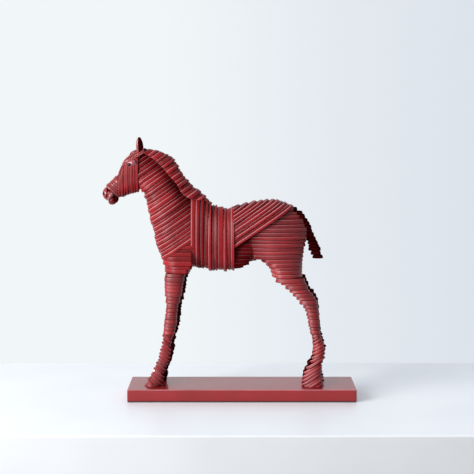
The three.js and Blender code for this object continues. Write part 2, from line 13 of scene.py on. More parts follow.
import bpy
import numpy as np
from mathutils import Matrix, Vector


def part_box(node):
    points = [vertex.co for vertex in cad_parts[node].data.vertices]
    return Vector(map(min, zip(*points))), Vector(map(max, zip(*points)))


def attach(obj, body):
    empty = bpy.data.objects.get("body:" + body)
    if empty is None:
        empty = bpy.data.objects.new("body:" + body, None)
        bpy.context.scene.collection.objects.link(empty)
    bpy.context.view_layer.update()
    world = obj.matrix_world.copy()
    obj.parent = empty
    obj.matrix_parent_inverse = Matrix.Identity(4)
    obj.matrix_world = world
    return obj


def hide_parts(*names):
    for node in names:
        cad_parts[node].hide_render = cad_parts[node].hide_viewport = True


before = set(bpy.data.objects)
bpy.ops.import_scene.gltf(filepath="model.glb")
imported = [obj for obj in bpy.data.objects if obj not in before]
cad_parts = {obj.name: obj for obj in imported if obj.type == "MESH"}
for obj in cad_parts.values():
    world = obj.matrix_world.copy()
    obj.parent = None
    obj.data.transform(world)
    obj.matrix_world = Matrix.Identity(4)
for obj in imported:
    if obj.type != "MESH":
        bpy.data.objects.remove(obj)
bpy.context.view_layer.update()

# %% [markdown]
# The part's directions
#
# Lengths below are millimetres, as on a drawing, and become metres when a mesh is made. The foal
# faces -X, and its left side faces -Y, where the camera stands. Outline points are written as
# (x, height above the top of the base), because that is how they can be read off a side view.

# %% Shared measures
MM = 0.001
BASE_TOP = 1000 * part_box("base_plate")[1].z
GAP = 0.3
print("The top of the base is", round(BASE_TOP, 2), "mm up")

# %% [markdown]
# Smooth outlines from a few points
#
# A body outline could be drawn as a Bezier curve in the viewport. Here it is a cubic through a few
# measured points, because a formula can be asked for its value at every slat at once.


# %% A smooth curve through points
def smooth_through(points):
    """A cubic between each two (at, value) points. Its slope at a point is that of the line from
    the point before it to the point after it, and past the ends it stays level."""
    at, value = np.array(sorted(points), float).T
    index = np.arange(len(at))
    before, after = np.maximum(index - 1, 0), np.minimum(index + 1, len(at) - 1)
    rise = (value[after] - value[before]) / (at[after] - at[before])

    def curve(place):
        inside = np.clip(place, at[0], at[-1])
        k = np.clip(np.searchsorted(at, inside), 1, len(at) - 1)
        length = at[k] - at[k - 1]
        t = (inside - at[k - 1]) / length
        return (value[k - 1] * (1 + 2 * t) * (1 - t) ** 2 + value[k] * t * t * (3 - 2 * t)
                + length * (rise[k - 1] * t * (1 - t) ** 2 - rise[k] * t * t * (1 - t)))

    return curve


# %% Directions of a slat
def turned(angle, a, b):
    """Two lengths seen along directions turned by an angle: a cos + b sin and b cos - a sin."""
    turn = math.radians(angle)
    return a * math.cos(turn) + b * math.sin(turn), b * math.cos(turn) - a * math.sin(turn)


def along_slat(angle, points):
    """Turns side-view points by the slat's angle: the first result runs along the slat, and the
    second across the stack."""
    x, height = np.array(points, float)[..., :2].T
    return turned(angle, x, height + BASE_TOP)


def outline_across(angle, points):
    """How far along the slat an outline lies, as a smooth curve over the place in the stack."""
    s, n = along_slat(angle, points)
    return smooth_through(list(zip(n, s)))


def values_across(angle, points):
    """A width or radius given as the third number of each point, over the place in the stack."""
    _, n = along_slat(angle, points)
    return smooth_through([(at, point[2]) for at, point in zip(n, points)])


def bell(distance, width):
    """A smooth bump of height 1: e to the power of minus (distance / width) squared."""
    return np.exp(-(distance / width) ** 2)


def rounded(distance, radius):
    """The share of the full width at a distance in from a rounded end: a superellipse of power
    2.2, which is 0 at the end and 1 from one radius on."""
    left = 1 - np.clip(distance / radius, 0, 1)
    return (1 - left ** 2.2) ** (1 / 2.2)


# %% [markdown]
# From a grid of points to a mesh
#
# Every new piece is a stack of closed rings. A ring is one row of the grid, and its last point
# joins its first. The faces are the same for each grid, so one function makes them: a band of
# four-sided faces between each two rings, and a strip across the first and the last ring that
# closes the piece. Blender could build this with bmesh operators, but whole arrays are faster and
# always give the same mesh.


# %% Faces and mesh from rings
def ring_faces(rows, around):
    """Corner (row, k) joins (row, k+1), (row+1, k+1) and (row+1, k). The end strips join point k
    to point around-1-k, straight across the ring."""
    row = np.arange(rows - 1)[:, None] * around
    k = np.arange(around)[None, :]
    after = (k + 1) % around
    bands = np.stack([row + k, row + after, row + around + after, row + around + k], axis=-1)
    near = np.arange(around // 2 - 1)
    far = around - 1 - near
    first = np.stack([near, far, far - 1, near + 1], axis=-1)
    last = first[:, ::-1] + (rows - 1) * around
    return np.concatenate([bands.reshape(-1, 4), first, last])


def both_sides(x, half_width, z, centre=0.0):
    """Rings that run along the near side, at y = centre - half width, and back along the far side,
    at y = centre + half width."""
    near, far = (np.stack([x, centre + way * half_width, z], axis=-1) for way in (-1, 1))
    return np.concatenate([near, far[:, ::-1]], axis=1)


def points_outward(points, faces):
    """Flips the faces if the volume they enclose, summed over their triangles, is negative."""
    a, b, c, d = (points[faces[:, k]] for k in range(4))
    volume = np.sum(np.cross(a, b) * c) + np.sum(np.cross(a, c) * d)
    return faces if volume > 0 else faces[:, ::-1]


def add_object(name, data):
    """Adds an object that shows a mesh, a lamp or a camera."""
    item = bpy.data.objects.new(name, data)
    bpy.context.scene.collection.objects.link(item)
    return item


def make_piece(name, rings, node, material, values=None, uv=None, sharp=38):
    """Puts a grid of rings, in millimetres, into a mesh that replaces a node of the part."""
    rows, around, _ = rings.shape
    points = rings.reshape(-1, 3) * MM
    faces = points_outward(points, ring_faces(rows, around))
    mesh = bpy.data.meshes.new(name)
    mesh.from_pydata(points, [], faces)
    mesh.shade_smooth()
    mesh.set_sharp_from_angle(angle=math.radians(sharp))
    for label, value in (values or {}).items():
        spread = np.broadcast_to(value, (rows, around)).astype(np.float32).ravel()
        mesh.attributes.new(label, "FLOAT", "POINT").data.foreach_set("value", spread)
    if uv is not None:
        corner = np.empty(len(mesh.loops), np.int32)
        mesh.loops.foreach_get("vertex_index", corner)
        layer = mesh.uv_layers.new(name="along_slat")
        layer.data.foreach_set("uv", (uv.reshape(-1, 2) * MM)[corner].astype(np.float32).ravel())
    mesh.materials.append(material)
    piece = add_object(name, mesh)
    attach(piece, "root")
    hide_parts(node)
    print(f"{name}: {rows} rings of {around} points")
    return piece


# %% [markdown]
# Colours and a helper for nodes
#
# Hex colours are written for screens, but shaders count light, so one function turns sRGB into
# linear light. One helper adds a node with its settings and its links, which keeps each finish
# short enough to read, and another starts a material. A noise texture repeats about once in every
# 1 / scale metres, so a scale of 40 gives clouds 25 mm wide.


# %% Colour and node helpers
def linear(hex_colour, alpha=1.0):
    """sRGB to linear: value / 12.92 below 0.04045, else ((value + 0.055) / 1.055) to the 2.4."""
    srgb = [int(hex_colour[k:k + 2], 16) / 255 for k in (1, 3, 5)]
    return [c / 12.92 if c <= 0.04045 else ((c + 0.055) / 1.055) ** 2.4 for c in srgb] + [alpha]


def add_node(tree, kind, inputs=None, stops=(), **settings):
    """Adds a node, sets its properties, and fills or links its inputs by name or number. A node
    given as an input stands for its first output. A colour ramp also gets its stops, as (place,
    hex colour)."""
    node = tree.nodes.new(kind)
    for key, value in settings.items():
        setattr(node, key, value)
    for key, value in (inputs or {}).items():
        if isinstance(value, bpy.types.Node):
            value = value.outputs[0]
        if isinstance(value, bpy.types.NodeSocket):
            tree.links.new(value, node.inputs[key])
        else:
            node.inputs[key].default_value = value
    for _ in stops[2:]:
        node.color_ramp.elements.new(0.5)
    for k, (place, colour) in enumerate(stops):
        node.color_ramp.elements[k].position = place
        node.color_ramp.elements[k].color = linear(colour)
    return node


def new_material(name):
    """A material whose node tree holds only the coordinates that its patterns read, which are
    metres from the origin of the part."""
    material = bpy.data.materials.new(name)
    material.use_nodes = True
    tree = material.node_tree
    tree.nodes.clear()
    return material, tree, add_node(tree, "ShaderNodeTexCoord").outputs["Object"]


# %% [markdown]
# Red lacquer on cast resin
#
# The foal is cast in resin and sprayed with red lacquer, which pools a little in the grooves. To
# the eye that gives a satin gloss, painted highlights along the upper edges of the slats, and
# nearly black-red lines between the slats, which are pooled lacquer and painted shade. A shader
# could find the grooves by ambient occlusion, but the mesh already knows how deep each point lies,
# so that depth is stored on the points and read here, with painted shade on parts turned from the
# light.
# The trunk and neck are satin, the legs and haunch hazier, and the small smooth parts glossy.


# %% Lacquer on the slats
def red_lacquer(name, shine, smooth):
    """Red lacquer, IOR 1.5: smooth is its roughness on the faces, twice that in the grooves, and
    shine is its specular level, which fades to nothing in the grooves."""
    material, tree, place = new_material(name)
    along = add_node(tree, "ShaderNodeUVMap", uv_map="along_slat")
    groove, painted_highlight, tone, painted_shade = (
        add_node(tree, "ShaderNodeAttribute", attribute_name=label).outputs["Fac"]
        for label in ("groove", "painted_highlight", "tone", "painted_shade"))

    # Spray clouds are about 25 mm wide, and brush-like streaks 1.5 mm wide run along the slats.
    clouds = add_node(tree, "ShaderNodeTexNoise", {"Vector": place, "Scale": 40.0, "Detail": 3.0})
    stretched = add_node(tree, "ShaderNodeMapping", {"Vector": along, "Scale": (30.0, 660.0, 1.0)})
    streaks = add_node(tree, "ShaderNodeTexNoise", {
        "Vector": stretched, "Scale": 1.0, "Detail": 2.0}, noise_dimensions="2D")
    cloudy = add_node(tree, "ShaderNodeMath", {0: clouds, 1: 0.55, 2: tone},
                      operation="MULTIPLY_ADD")
    streaky = add_node(tree, "ShaderNodeMath", {0: streaks, 1: 0.35}, operation="MULTIPLY")
    shade = add_node(tree, "ShaderNodeMath", {0: cloudy, 1: streaky}, operation="ADD")
    face = add_node(tree, "ShaderNodeValToRGB", {"Fac": shade}, stops=[
        (0.2, "#5E0D11"), (0.5, "#7A1418"), (0.85, "#981D22")])
    # Painted highlight: the upper edges of the slats mix towards pale pink.
    edged = add_node(tree, "ShaderNodeMix", {"Factor": painted_highlight, 6: face, 7: linear("#EFA6AA")},
                     data_type="RGBA")
    # The grooves and the painted shade darken the colour towards black-red; in the grooves part of
    # that is pooled lacquer.
    groove_and_shade = add_node(tree, "ShaderNodeMath", {0: groove, 1: painted_shade}, operation="ADD", use_clamp=True)
    depth = add_node(tree, "ShaderNodeValToRGB", {"Fac": groove_and_shade}, stops=[
        (0.0, "#FFFFFF"), (1.0, "#43181A")])
    colour = add_node(tree, "ShaderNodeMix", {"Factor": 1.0, 6: edged.outputs[2], 7: depth},
                      data_type="RGBA", blend_type="MULTIPLY")
    level = add_node(tree, "ShaderNodeMapRange", {
        "Value": groove_and_shade, "From Max": 0.5, "To Min": shine, "To Max": 0.0})
    dull = add_node(tree, "ShaderNodeMath", {0: groove, 1: clouds}, operation="ADD")
    roughness = add_node(tree, "ShaderNodeMapRange", {
        "Value": dull, "From Min": 0.3, "From Max": 1.5, "To Min": smooth, "To Max": 2 * smooth})

    # Orange peel of sprayed lacquer, drawn 1.4 mm wide so that it shows.
    peel = add_node(tree, "ShaderNodeTexNoise", {"Vector": place, "Scale": 700.0, "Detail": 1.0})
    relief = add_node(tree, "ShaderNodeMath", {0: peel, 1: 0.5, 2: streaks},
                      operation="MULTIPLY_ADD")
    bump = add_node(tree, "ShaderNodeBump", {
        "Height": relief, "Strength": 0.04, "Distance": 0.0002})
    shader = add_node(tree, "ShaderNodeBsdfPrincipled", {
        "Base Color": colour.outputs[2], "Roughness": roughness, "IOR": 1.5,
        "Specular IOR Level": level, "Normal": bump})
    add_node(tree, "ShaderNodeOutputMaterial", {"Surface": shader})
    return material


SATIN = red_lacquer("red_lacquer_on_resin", shine=0.17, smooth=0.36)
HAZE = red_lacquer("hazy_red_lacquer", shine=0.5, smooth=0.42)
GLOSS = red_lacquer("glossy_red_lacquer", shine=0.65, smooth=0.17)
print("Made", SATIN.name + ",", HAZE.name, "and", GLOSS.name)

# %% [markdown]
# A stack of slats as one surface
#
# On the real foal each slat is a thin plate whose edge is rounded by the lacquer, and its
# neighbours stand a little further in or out. Separate plates would need hundreds of meshes. One
# grid does it: every slat gets thirteen rings. Its lower edge stands out and casts a thin shadow,
# and its upper edge is sloped off and catches the light, like boards on a shed, and no two slats
# lean alike. Where a body part ends at a neighbour, its rings are simply shortened at that line,
# which gives a clean flat end without a boolean.

# %% Numbers of a stack
RINGS = 13
SIDE_POINTS = 30
PLAIN_SLAT = {"stepped": 1, "fade": 0, "clean_tip": 0, "end_ink": 1}
ACROSS = np.sin(np.linspace(-math.pi / 2, math.pi / 2, RINGS))
DRAWN_IN = ((1 + ACROSS) / 2) ** 4 + np.clip(-ACROSS, 0, 1) ** 24
# How far a point lies in the groove, where lacquer pooling there and painted shade darken the
# colour.
IN_GROOVE = ((1 + ACROSS) / 2) ** 14 + np.clip(-ACROSS, 0, 1) ** 20
# Where the painted highlight lies across a slat: a bell about u = 0.68, near its upper edge.
ON_EDGE = bell(ACROSS - 0.68, 0.15)


# %% Where a line cuts the slats
def cut_at(angle, line_angle, point, keep):
    """For a straight cut: with turn = angle - line_angle, the cut lies at
    s = (c - n cos turn) / sin turn, where c is the line's own distance across. Returns that curve
    and whether it limits the high end of the slats."""
    turn = math.radians(angle - line_angle)
    _, c = along_slat(line_angle, point)
    ends_high = (keep == "below") == (math.sin(turn) > 0)
    return (lambda n: (c - n * math.cos(turn)) / math.sin(turn)), ends_high


# %% Rings of the slats
def slat_rings(angle, start, end, slat, seed):
    """Thirteen rings per slat, from start to end. Each ring has its place n across the stack, the
    place at where its outline is read, how far out its slat stands, and its inset, by which the
    outline is drawn in: depth * ((1 + u) / 2)^4 + lean * u, where u goes from -1 to 1 over the
    slat, and depth again at the very bottom. Groove and tone are for the lacquer: the grooves are
    darkened by lacquer pooling in them and by painted shade. A painted highlight lightens each
    slat near its upper edge."""
    chance = np.random.default_rng(seed)
    first, last = along_slat(angle, start)[1], along_slat(angle, end)[1]
    count = round((last - first) / slat["pitch"])
    shift = chance.uniform(-1, 1, count + 1) * slat["uneven"]
    shift[[0, -1]] = 0
    faces = first + (last - first) * (np.arange(count + 1) + shift) / count
    middle, thickness = (faces[1:] + faces[:-1]) / 2, np.diff(faces)
    proud = slat["step"] * (chance.uniform(-1, 1, count) + 0.6 * (-1.0) ** np.arange(count)) / 2
    tone = chance.uniform(0, 0.35, count)
    lean = slat["lean"] * (1 + chance.uniform(-1.2, 1.2, count))

    n = (middle[:, None] + ACROSS * (thickness[:, None] - GAP) / 2).ravel()
    middle, out, tone, lean = (np.repeat(values, RINGS) for values in (middle, proud, tone, lean))
    return {
        "n": n, "at": n + (middle - n) * slat["stepped"], "out": out, "tone": tone,
        "inset": slat["depth"] * np.tile(DRAWN_IN, count) + lean * np.tile(ACROSS, count),
        "groove": np.tile(IN_GROOVE, count) * slat["ink"],
        "painted_highlight": np.tile(ON_EDGE, count) * slat["highlight"]}


def with_ends(ring, angle, low, high, cuts, edge_line):
    """Each ring reaches from the low outline to the high one, both moved outwards by out - inset,
    and from_s and to_s stop earlier where a line cuts it. What is shorter than 0.4 mm is left out,
    and every value becomes a column."""
    low_end = outline_across(angle, low)(ring["at"]) - ring["out"] + ring["inset"]
    high_end = outline_across(angle, high)(ring["at"]) + ring["out"] - ring["inset"]
    from_s, to_s = low_end, high_end
    limits = [cut_at(angle, *cut) for cut in cuts]
    if edge_line:
        limits.append((outline_across(angle, edge_line[0]), edge_line[1] == "high"))
    for curve, ends_high in limits:
        if ends_high:
            to_s = np.minimum(to_s, curve(ring["n"]))
        else:
            from_s = np.maximum(from_s, curve(ring["n"]))
    whole = to_s - from_s > 0.4
    ends = {"low_end": low_end, "high_end": high_end, "from_s": from_s, "to_s": to_s}
    return {key: values[whole][:, None] for key, values in {**ring, **ends}.items()}


# %% The stack itself
def slat_stack(angle, start, end, low, high, half_widths, slat, seed, centre=0.0,
               low_radii=None, high_radii=None, narrowed=None, shaded=None, cuts=(),
               edge_line=None):
    """Rings, lacquer values and UV of a stack. The half width is the body's, narrowed at the
    rounded ends. Stepped is 1 where a slat keeps one length over its whole thickness, and 0 where
    its ends follow the outline. Ink is how much the grooves are darkened, by lacquer pooling there
    and by painted shade, and end_ink how much of that the last slat keeps at its face. The slat's
    highlight value is how much painted highlight its upper edges get. Fade is how far both weaken
    along the slat, and clean_tip how red its tip stays. shaded(x, y, z) gives the painted shade at
    a point."""
    slat = {**PLAIN_SLAT, **slat}
    ring = slat_rings(angle, start, end, slat, seed)
    ring = with_ends(ring, angle, low, high, cuts, edge_line)
    ring["groove"][-RINGS // 2:] *= slat["end_ink"]

    share = (1 - np.cos(np.linspace(0, math.pi, SIDE_POINTS))) / 2
    s = ring["from_s"] + (ring["to_s"] - ring["from_s"]) * share
    x, z = turned(-angle, s, ring["n"])
    half_length = (ring["high_end"] - ring["low_end"]) / 2
    low_radius = values_across(angle, low_radii)(ring["at"]) if low_radii else half_length
    high_radius = values_across(angle, high_radii)(ring["at"]) if high_radii else half_length
    width = values_across(angle, half_widths)(ring["at"]) + ring["out"] - ring["inset"]
    width = width * rounded(s - ring["low_end"], low_radius)
    width = width * rounded(ring["high_end"] - s, high_radius)
    if narrowed:
        width = width * narrowed(x, z)
    rings = both_sides(x, np.maximum(width, 0.05), z, centre)
    both = np.concatenate([s, s[:, ::-1]], axis=1)
    uv = np.stack([both, np.broadcast_to(ring["n"], both.shape)], axis=-1)

    along = np.concatenate([share, share[::-1]])
    soft = 1 - slat["fade"] * along
    tip = 1 - slat["clean_tip"] * np.clip((along - 0.75) / 0.15, 0, 1)
    # Painted shade where shaded(x, y, z) says so, standing in for hollows and sides turned from the
    # light.
    painted_shade = shaded(*np.moveaxis(rings, -1, 0)) if shaded else 0.0
    values = {"groove": ring["groove"] * tip * (1 + soft) / 2, "painted_highlight": ring["painted_highlight"] * soft,
              "tone": ring["tone"], "painted_shade": painted_shade}
    return rings, values, uv


def slat_piece(name, node, finish=SATIN, **stack):
    """A stack of slats as a lacquered piece."""
    rings, values, uv = slat_stack(**stack)
    return make_piece(name, rings, node, finish, values, uv)


# %% [markdown]
# Legs
#
# Each leg has level slats from the body to the knee or the hock, and slanting ones below it: they
# fall towards the tail on the forelegs and rise on the hind legs. The right legs stand a few
# millimetres further back, so the same outlines are moved for them. Painted shade darkens the
# inner sides of the legs, where little light reaches.

# %% Slats of the legs
LEG_SLAT = {
    "pitch": 6.5, "step": 1.2, "depth": 0.6, "uneven": 0.2, "lean": 0.2, "ink": 0.4,
    "highlight": 0.15, "fade": 0.6}
SHIN_SLAT = {
    "pitch": 4.9, "step": 1.3, "depth": 1.4, "uneven": 0.18, "lean": 0.35, "ink": 1.0,
    "highlight": 0.6, "fade": 0.5}
THIGH_SLAT = {
    "pitch": 6.5, "step": 1.1, "depth": 0.8, "uneven": 0.2, "lean": 0.25, "ink": 0.6,
    "highlight": 0.25, "fade": 0.9}
FORE_LEG = {
    "name": "fore", "centre": 18.5, "far_shift": 4.5, "slope": -48, "toe": (-162, 0),
    "knee": (-108, 88), "top": 191, "slat": LEG_SLAT,
    "front": [
        (-162, 0), (-152.5, 18), (-146.7, 29.7), (-140.8, 42.8), (-136.7, 57), (-132.8, 73),
        (-131, 90), (-129.3, 109), (-126.5, 130), (-127.2, 150), (-129, 172), (-128, 195)],
    "back": [
        (-134, 0), (-131, 10), (-130, 21), (-124, 37), (-119, 54), (-118.5, 66), (-116.9, 77.5),
        (-111.5, 95), (-108.6, 109.5), (-107, 130), (-101, 153), (-95.5, 182), (-91, 195)],
    "half_widths": [
        (-148, 0, 12), (-140, 20, 11), (-135, 35, 9), (-129, 52, 8), (-125, 75, 8.5),
        (-121, 97, 10), (-117, 130, 10.5), (-114, 150, 12), (-112, 172, 13.5), (-110, 195, 14.5)],
}
HIND_LEG = {
    "name": "hind", "centre": 19, "far_shift": 3.5, "slope": 34, "toe": (136.5, 0),
    "knee": (112, 88), "top": 183, "slat": THIGH_SLAT,
    "front": [
        (100, 0), (100.2, 10), (103, 21), (109.5, 32.6), (115.5, 44), (118.5, 60), (117.5, 79),
        (112.6, 96), (109.3, 115), (104.1, 132), (94, 145), (80.5, 159.5), (68, 171), (56, 179),
        (49, 190)],
    "back": [
        (136.5, 0), (134.5, 12), (132.5, 23), (133.5, 36), (138.5, 58), (134.5, 74), (131, 88),
        (129.5, 105), (127.5, 124), (126, 138), (121, 151), (113.5, 160), (108, 170), (103, 184),
        (101, 192)],
    "half_widths": [
        (118, 0, 12), (117, 15, 11), (119, 30, 9), (125, 45, 10), (127, 60, 10.5), (125, 78, 9),
        (121, 100, 9), (117, 124, 10.5), (110, 145, 13), (95, 165, 14.5), (79, 184, 15.3),
        (76, 192, 15.3)],
}
SIDES = {"left": -1, "right": 1}


# %% The four legs
def make_leg(leg, side, seed):
    """A lower and an upper stack with the same outlines, cut level at the knee and at the base."""
    shift = leg["far_shift"] if side == "right" else 0

    def moved(points):
        return [(x + shift, *rest) for x, *rest in points]

    def inner_side(x, y, z):
        """Painted shade that rises from 0 to 0.85 over 4 mm about the leg's middle, on the inner
        side.
        """
        return 0.85 * np.clip((leg["centre"] - np.abs(y)) / 4 + 0.2, 0, 1)

    shape = {
        "low": moved(leg["front"]), "high": moved(leg["back"]), "shaded": inner_side,
        "half_widths": moved(leg["half_widths"]), "centre": SIDES[side] * leg["centre"]}
    toe, knee = moved([leg["toe"], leg["knee"]])
    slope = leg["slope"]
    slat_piece(
        f"{leg['name']}_shin_{side}", f"{leg['name']}leg_lower_{side}", angle=slope, start=toe,
        end=knee, slat=SHIN_SLAT, seed=seed, finish=HAZE, **shape,
        cuts=[(0, (0, GAP), "above"), (0, (0, knee[1]), "below")])
    slat_piece(
        f"{leg['name']}_thigh_{side}", f"{leg['name']}leg_upper_{side}", angle=0,
        start=(0, knee[1] + GAP), end=(0, leg["top"] - GAP), slat=leg["slat"], seed=seed + 1,
        finish=HAZE, **shape)


seed = 10
for leg in (FORE_LEG, HIND_LEG):
    for side in SIDES:
        make_leg(leg, side, seed)
        seed += 2

# %% [markdown]
# Lines where body parts meet
#
# The shoulder, neck, loin and forehead have sloping slats, and each one ends at the straight line
# through the first slat of the next. The mane, the tail and the front of the haunch end at curved
# lines, each given from its upper to its lower end.

# %% Slopes and meeting lines
SHOULDER = {"slope": 34, "foot": (-108, 227.5)}
NECK = {"slope": 34, "foot": (-151, 276.5)}
LOIN = {"slope": 34, "foot": (40, 269)}
BROW = {"slope": 31, "foot": (-172, 382.3)}
NOSE_BACK = {"slope": -44, "foot": (-214, 323.5)}
MOUTH = {"slope": 47, "foot": (-217, 313.8)}
GIRTH_FRONT, GIRTH_BACK = -84.5, -12.5
UNDER_BAND = GIRTH_FRONT + 1.5, GIRTH_BACK - 1.5
CHEEK_BACK, CHEEK_FRONT, POLL_BACK = -171, -205, -162
MANE_LINE = [
    (-161, 388), (-154, 385), (-145, 378.5), (-135, 369.5), (-125, 358.5), (-117, 348.5),
    (-110, 340.5), (-105, 334), (-100, 324), (-92.5, 317.5), (-82.5, 313), (-62, 311.5), (-50, 303)]
TAIL_LINE = [
    (76, 300), (84, 294.5), (91.6, 286), (98.8, 276.5), (103.6, 267), (106.3, 255), (107, 245),
    (110, 238), (111.4, 228.5), (114.4, 221), (119.5, 213)]
STIFLE_LINE = [
    (-6, 262), (4, 254), (11, 247), (15, 241), (18, 232), (19, 224), (20, 216), (24, 210),
    (34, 205)]


def moved_by(line, dx, dz):
    """A line moved by a distance along x and z."""
    return [(x + dx, z + dz) for x, z in line]


def below(part, gap=0.0):
    """A cut that keeps what lies under a part's first slat, less a gap."""
    x, height = part["foot"]
    return (part["slope"], (x, height - gap), "below")


def above(part, gap=0.0):
    """A cut that keeps what lies over a part's first slat, less a gap."""
    x, height = part["foot"]
    return (part["slope"], (x, height + gap), "above")


def behind(x):
    """A cut that keeps what lies on the tail side of an upright line."""
    return (90, (x, 0), "below")


def ahead(x):
    """A cut that keeps what lies on the head side of an upright line."""
    return (90, (x, 0), "above")


# %% [markdown]
# Trunk
#
# The girth band is upright and stands proud of its neighbours, so it goes all the way round. The
# chest and the haunch are level, and the loin rises to stepped points along the rump. The flank
# sinks back below the loin, and its slats run on in line with those of the haunch.

# %% Slats of the trunk
HAUNCH_SLAT = {**THIGH_SLAT, "highlight": 0.6}
LOIN_SLAT = {
    "pitch": 5.1, "step": 1.2, "depth": 1.4, "uneven": 0.12, "lean": 0.35, "ink": 1.0,
    "highlight": 0.85, "clean_tip": 0.8}
GIRTH_SLAT = {
    "pitch": 6.6, "step": 1.4, "depth": 0.9, "uneven": 0.42, "lean": 0.5, "ink": 0.5,
    "highlight": 0.5}
TAIL_SLAT = {
    "pitch": 6.2, "step": 1.5, "depth": 1.0, "uneven": 0.14, "lean": 0.3, "ink": 1.0,
    "highlight": 0.2}
belly_height = smooth_through([(-12.5, 194), (0, 197.5), (10, 203.5), (20, 210.5), (30, 216)])

# %% Chest and girth band
slat_piece(
    "chest_slats", "chest", angle=0, start=(0, 191), end=(0, 246), slat=LEG_SLAT, seed=30,
    low=[(-128, 190), (-129, 196), (-130, 203), (-133, 212), (-137, 222), (-142, 233), (-145, 246)],
    high=[(-89, 190), (-86, 195), (-80, 199), (-80, 246)],
    half_widths=[(0, 190, 31.5), (0, 246, 33)],
    low_radii=[(0, 190, 26), (0, 246, 30)], high_radii=[(0, 190, 6), (0, 246, 4)],
    cuts=[below(SHOULDER), ahead(UNDER_BAND[0])])

slat_piece(
    "girth_slats", "girth_band", angle=90, start=(GIRTH_BACK, 0), end=(GIRTH_FRONT, 0),
    slat=GIRTH_SLAT, seed=65,
    low=[(-84, 199.5), (-74, 197.5), (-60, 196), (-52, 192.5), (-46, 192), (-40, 195), (-28, 191),
         (-20, 194), (-13, 194)],
    high=[(-84, 316), (-64, 314), (-50, 303.5), (-40, 301), (-26, 297), (-13, 299.5)],
    half_widths=[(-84, 0, 34.5), (-48, 0, 36), (-13, 0, 35)],
    # Painted shade in a recess of the girth band, a bell 7 mm wide about x = -68.
    shaded=lambda x, y, z: 0.4 * bell(x + 68, 7), edge_line=(MANE_LINE, "high"))

# %% Flank and haunch
HAUNCH = {"foot": (0, 183), "top": (0, 299), "seed": 33}
stifle_x = smooth_through([(height, x) for x, height in STIFLE_LINE])


def swelling(x, z):
    """The haunch starts as wide as the flank and swells by a sixth over the next 45 mm."""
    height = z - BASE_TOP
    back = np.clip((x - stifle_x(height)) / 45, 0, 1)
    joined = np.clip((height - 210) / 20, 0, 1)
    return 1 - 0.17 * joined * (1 - back) ** 2


def in_hollow(x, y, z):
    """Painted shade in the hollow of the flank, which thins out over 36 mm onto the haunch."""
    return 0.5 * np.clip((46 - x) / 36, 0, 1)


slat_piece(
    "flank_slats", "flank", angle=0, start=HAUNCH["foot"], end=HAUNCH["top"], slat=HAUNCH_SLAT,
    seed=HAUNCH["seed"], low=[(-24, 190), (-24, 262)],
    high=[(-24, 193.5), (-8, 195), (2, 199), (10, 204), (17, 208.5), (26, 213), (34, 217),
          (34, 262)],
    half_widths=[(0, 190, 28), (0, 262, 29)], low_radii=[(0, 190, 4), (0, 262, 4)],
    high_radii=[(0, 190, 4), (0, 262, 4)],
    narrowed=lambda x, z: rounded(z - BASE_TOP - belly_height(x), 34),
    shaded=in_hollow,
    cuts=[behind(UNDER_BAND[1]), below(LOIN)], edge_line=(moved_by(STIFLE_LINE, 4, 0), "high"),
    finish=HAZE)

slat_piece(
    "haunch_slats", "haunch", angle=0, start=HAUNCH["foot"], end=HAUNCH["top"], slat=HAUNCH_SLAT,
    seed=HAUNCH["seed"],
    low=[(52, 183), (48.5, 190), (46, 198), (42, 203), (38, 208), (30, 213), (16, 217), (4, 232),
         (-12, 241), (-30, 258), (-30, 299)],
    high=[(100.5, 183), (101.4, 194), (101, 206), (103, 223), (106, 238), (109, 250), (109.5, 262),
          (105, 275), (98, 285), (90, 294), (86, 299)],
    half_widths=[(0, 183, 34), (0, 215, 35), (0, 240, 34.5), (0, 258, 32.5), (0, 273, 28.5),
                 (0, 285, 22), (0, 299, 12)],
    low_radii=[(0, 183, 18), (0, 206, 18), (0, 216, 8), (0, 299, 8)],
    narrowed=swelling,
    high_radii=[(0, 183, 26), (0, 206, 40), (0, 230, 62), (0, 275, 62), (0, 299, 30)],
    shaded=in_hollow, cuts=[below(LOIN)], edge_line=(STIFLE_LINE, "low"), finish=HAZE)

# %% Loin and tail
slat_piece(
    "loin_slats", "loin", angle=LOIN["slope"], start=LOIN["foot"], end=(GIRTH_BACK, 299.5),
    slat=LOIN_SLAT, seed=34, low=[(-40, 200), (-40, 320)],
    high=[(-12.5, 300), (12, 307), (25, 309.5), (45, 311.5), (55, 312.5), (62, 310), (70, 307.5),
          (82, 303), (90, 297.5)],
    half_widths=[(40, 269, 34.5), (-12.5, 300, 34)], low_radii=[(0, 250, 4), (0, 300, 4)],
    high_radii=[(40, 269, 58), (-12.5, 300, 90)], cuts=[behind(UNDER_BAND[1])])

slat_piece(
    "tail_slats", "tail", angle=0, start=(0, 213), end=(0, 299), slat=TAIL_SLAT, seed=35,
    low=moved_by(TAIL_LINE, GAP, 0),
    high=[(138, 213), (134.5, 218), (130, 233), (124.6, 244.5), (119.2, 256), (114.4, 269),
          (107.8, 280), (102.4, 287), (97, 293), (88, 299)],
    half_widths=[(0, 213, 6), (0, 235, 8), (0, 270, 9), (0, 299, 8)],
    # Painted shade all over the tail, which faces away from the light.
    shaded=lambda x, y, z: 0.85, cuts=[below(LOIN)])

# %% [markdown]
# Shoulder, neck and mane
#
# The neck is widest at the shoulder and narrows to the throat. Its slats run up to the mane line
# and go on under the mane, whose thicker blocks hang over them and throw a dark line.

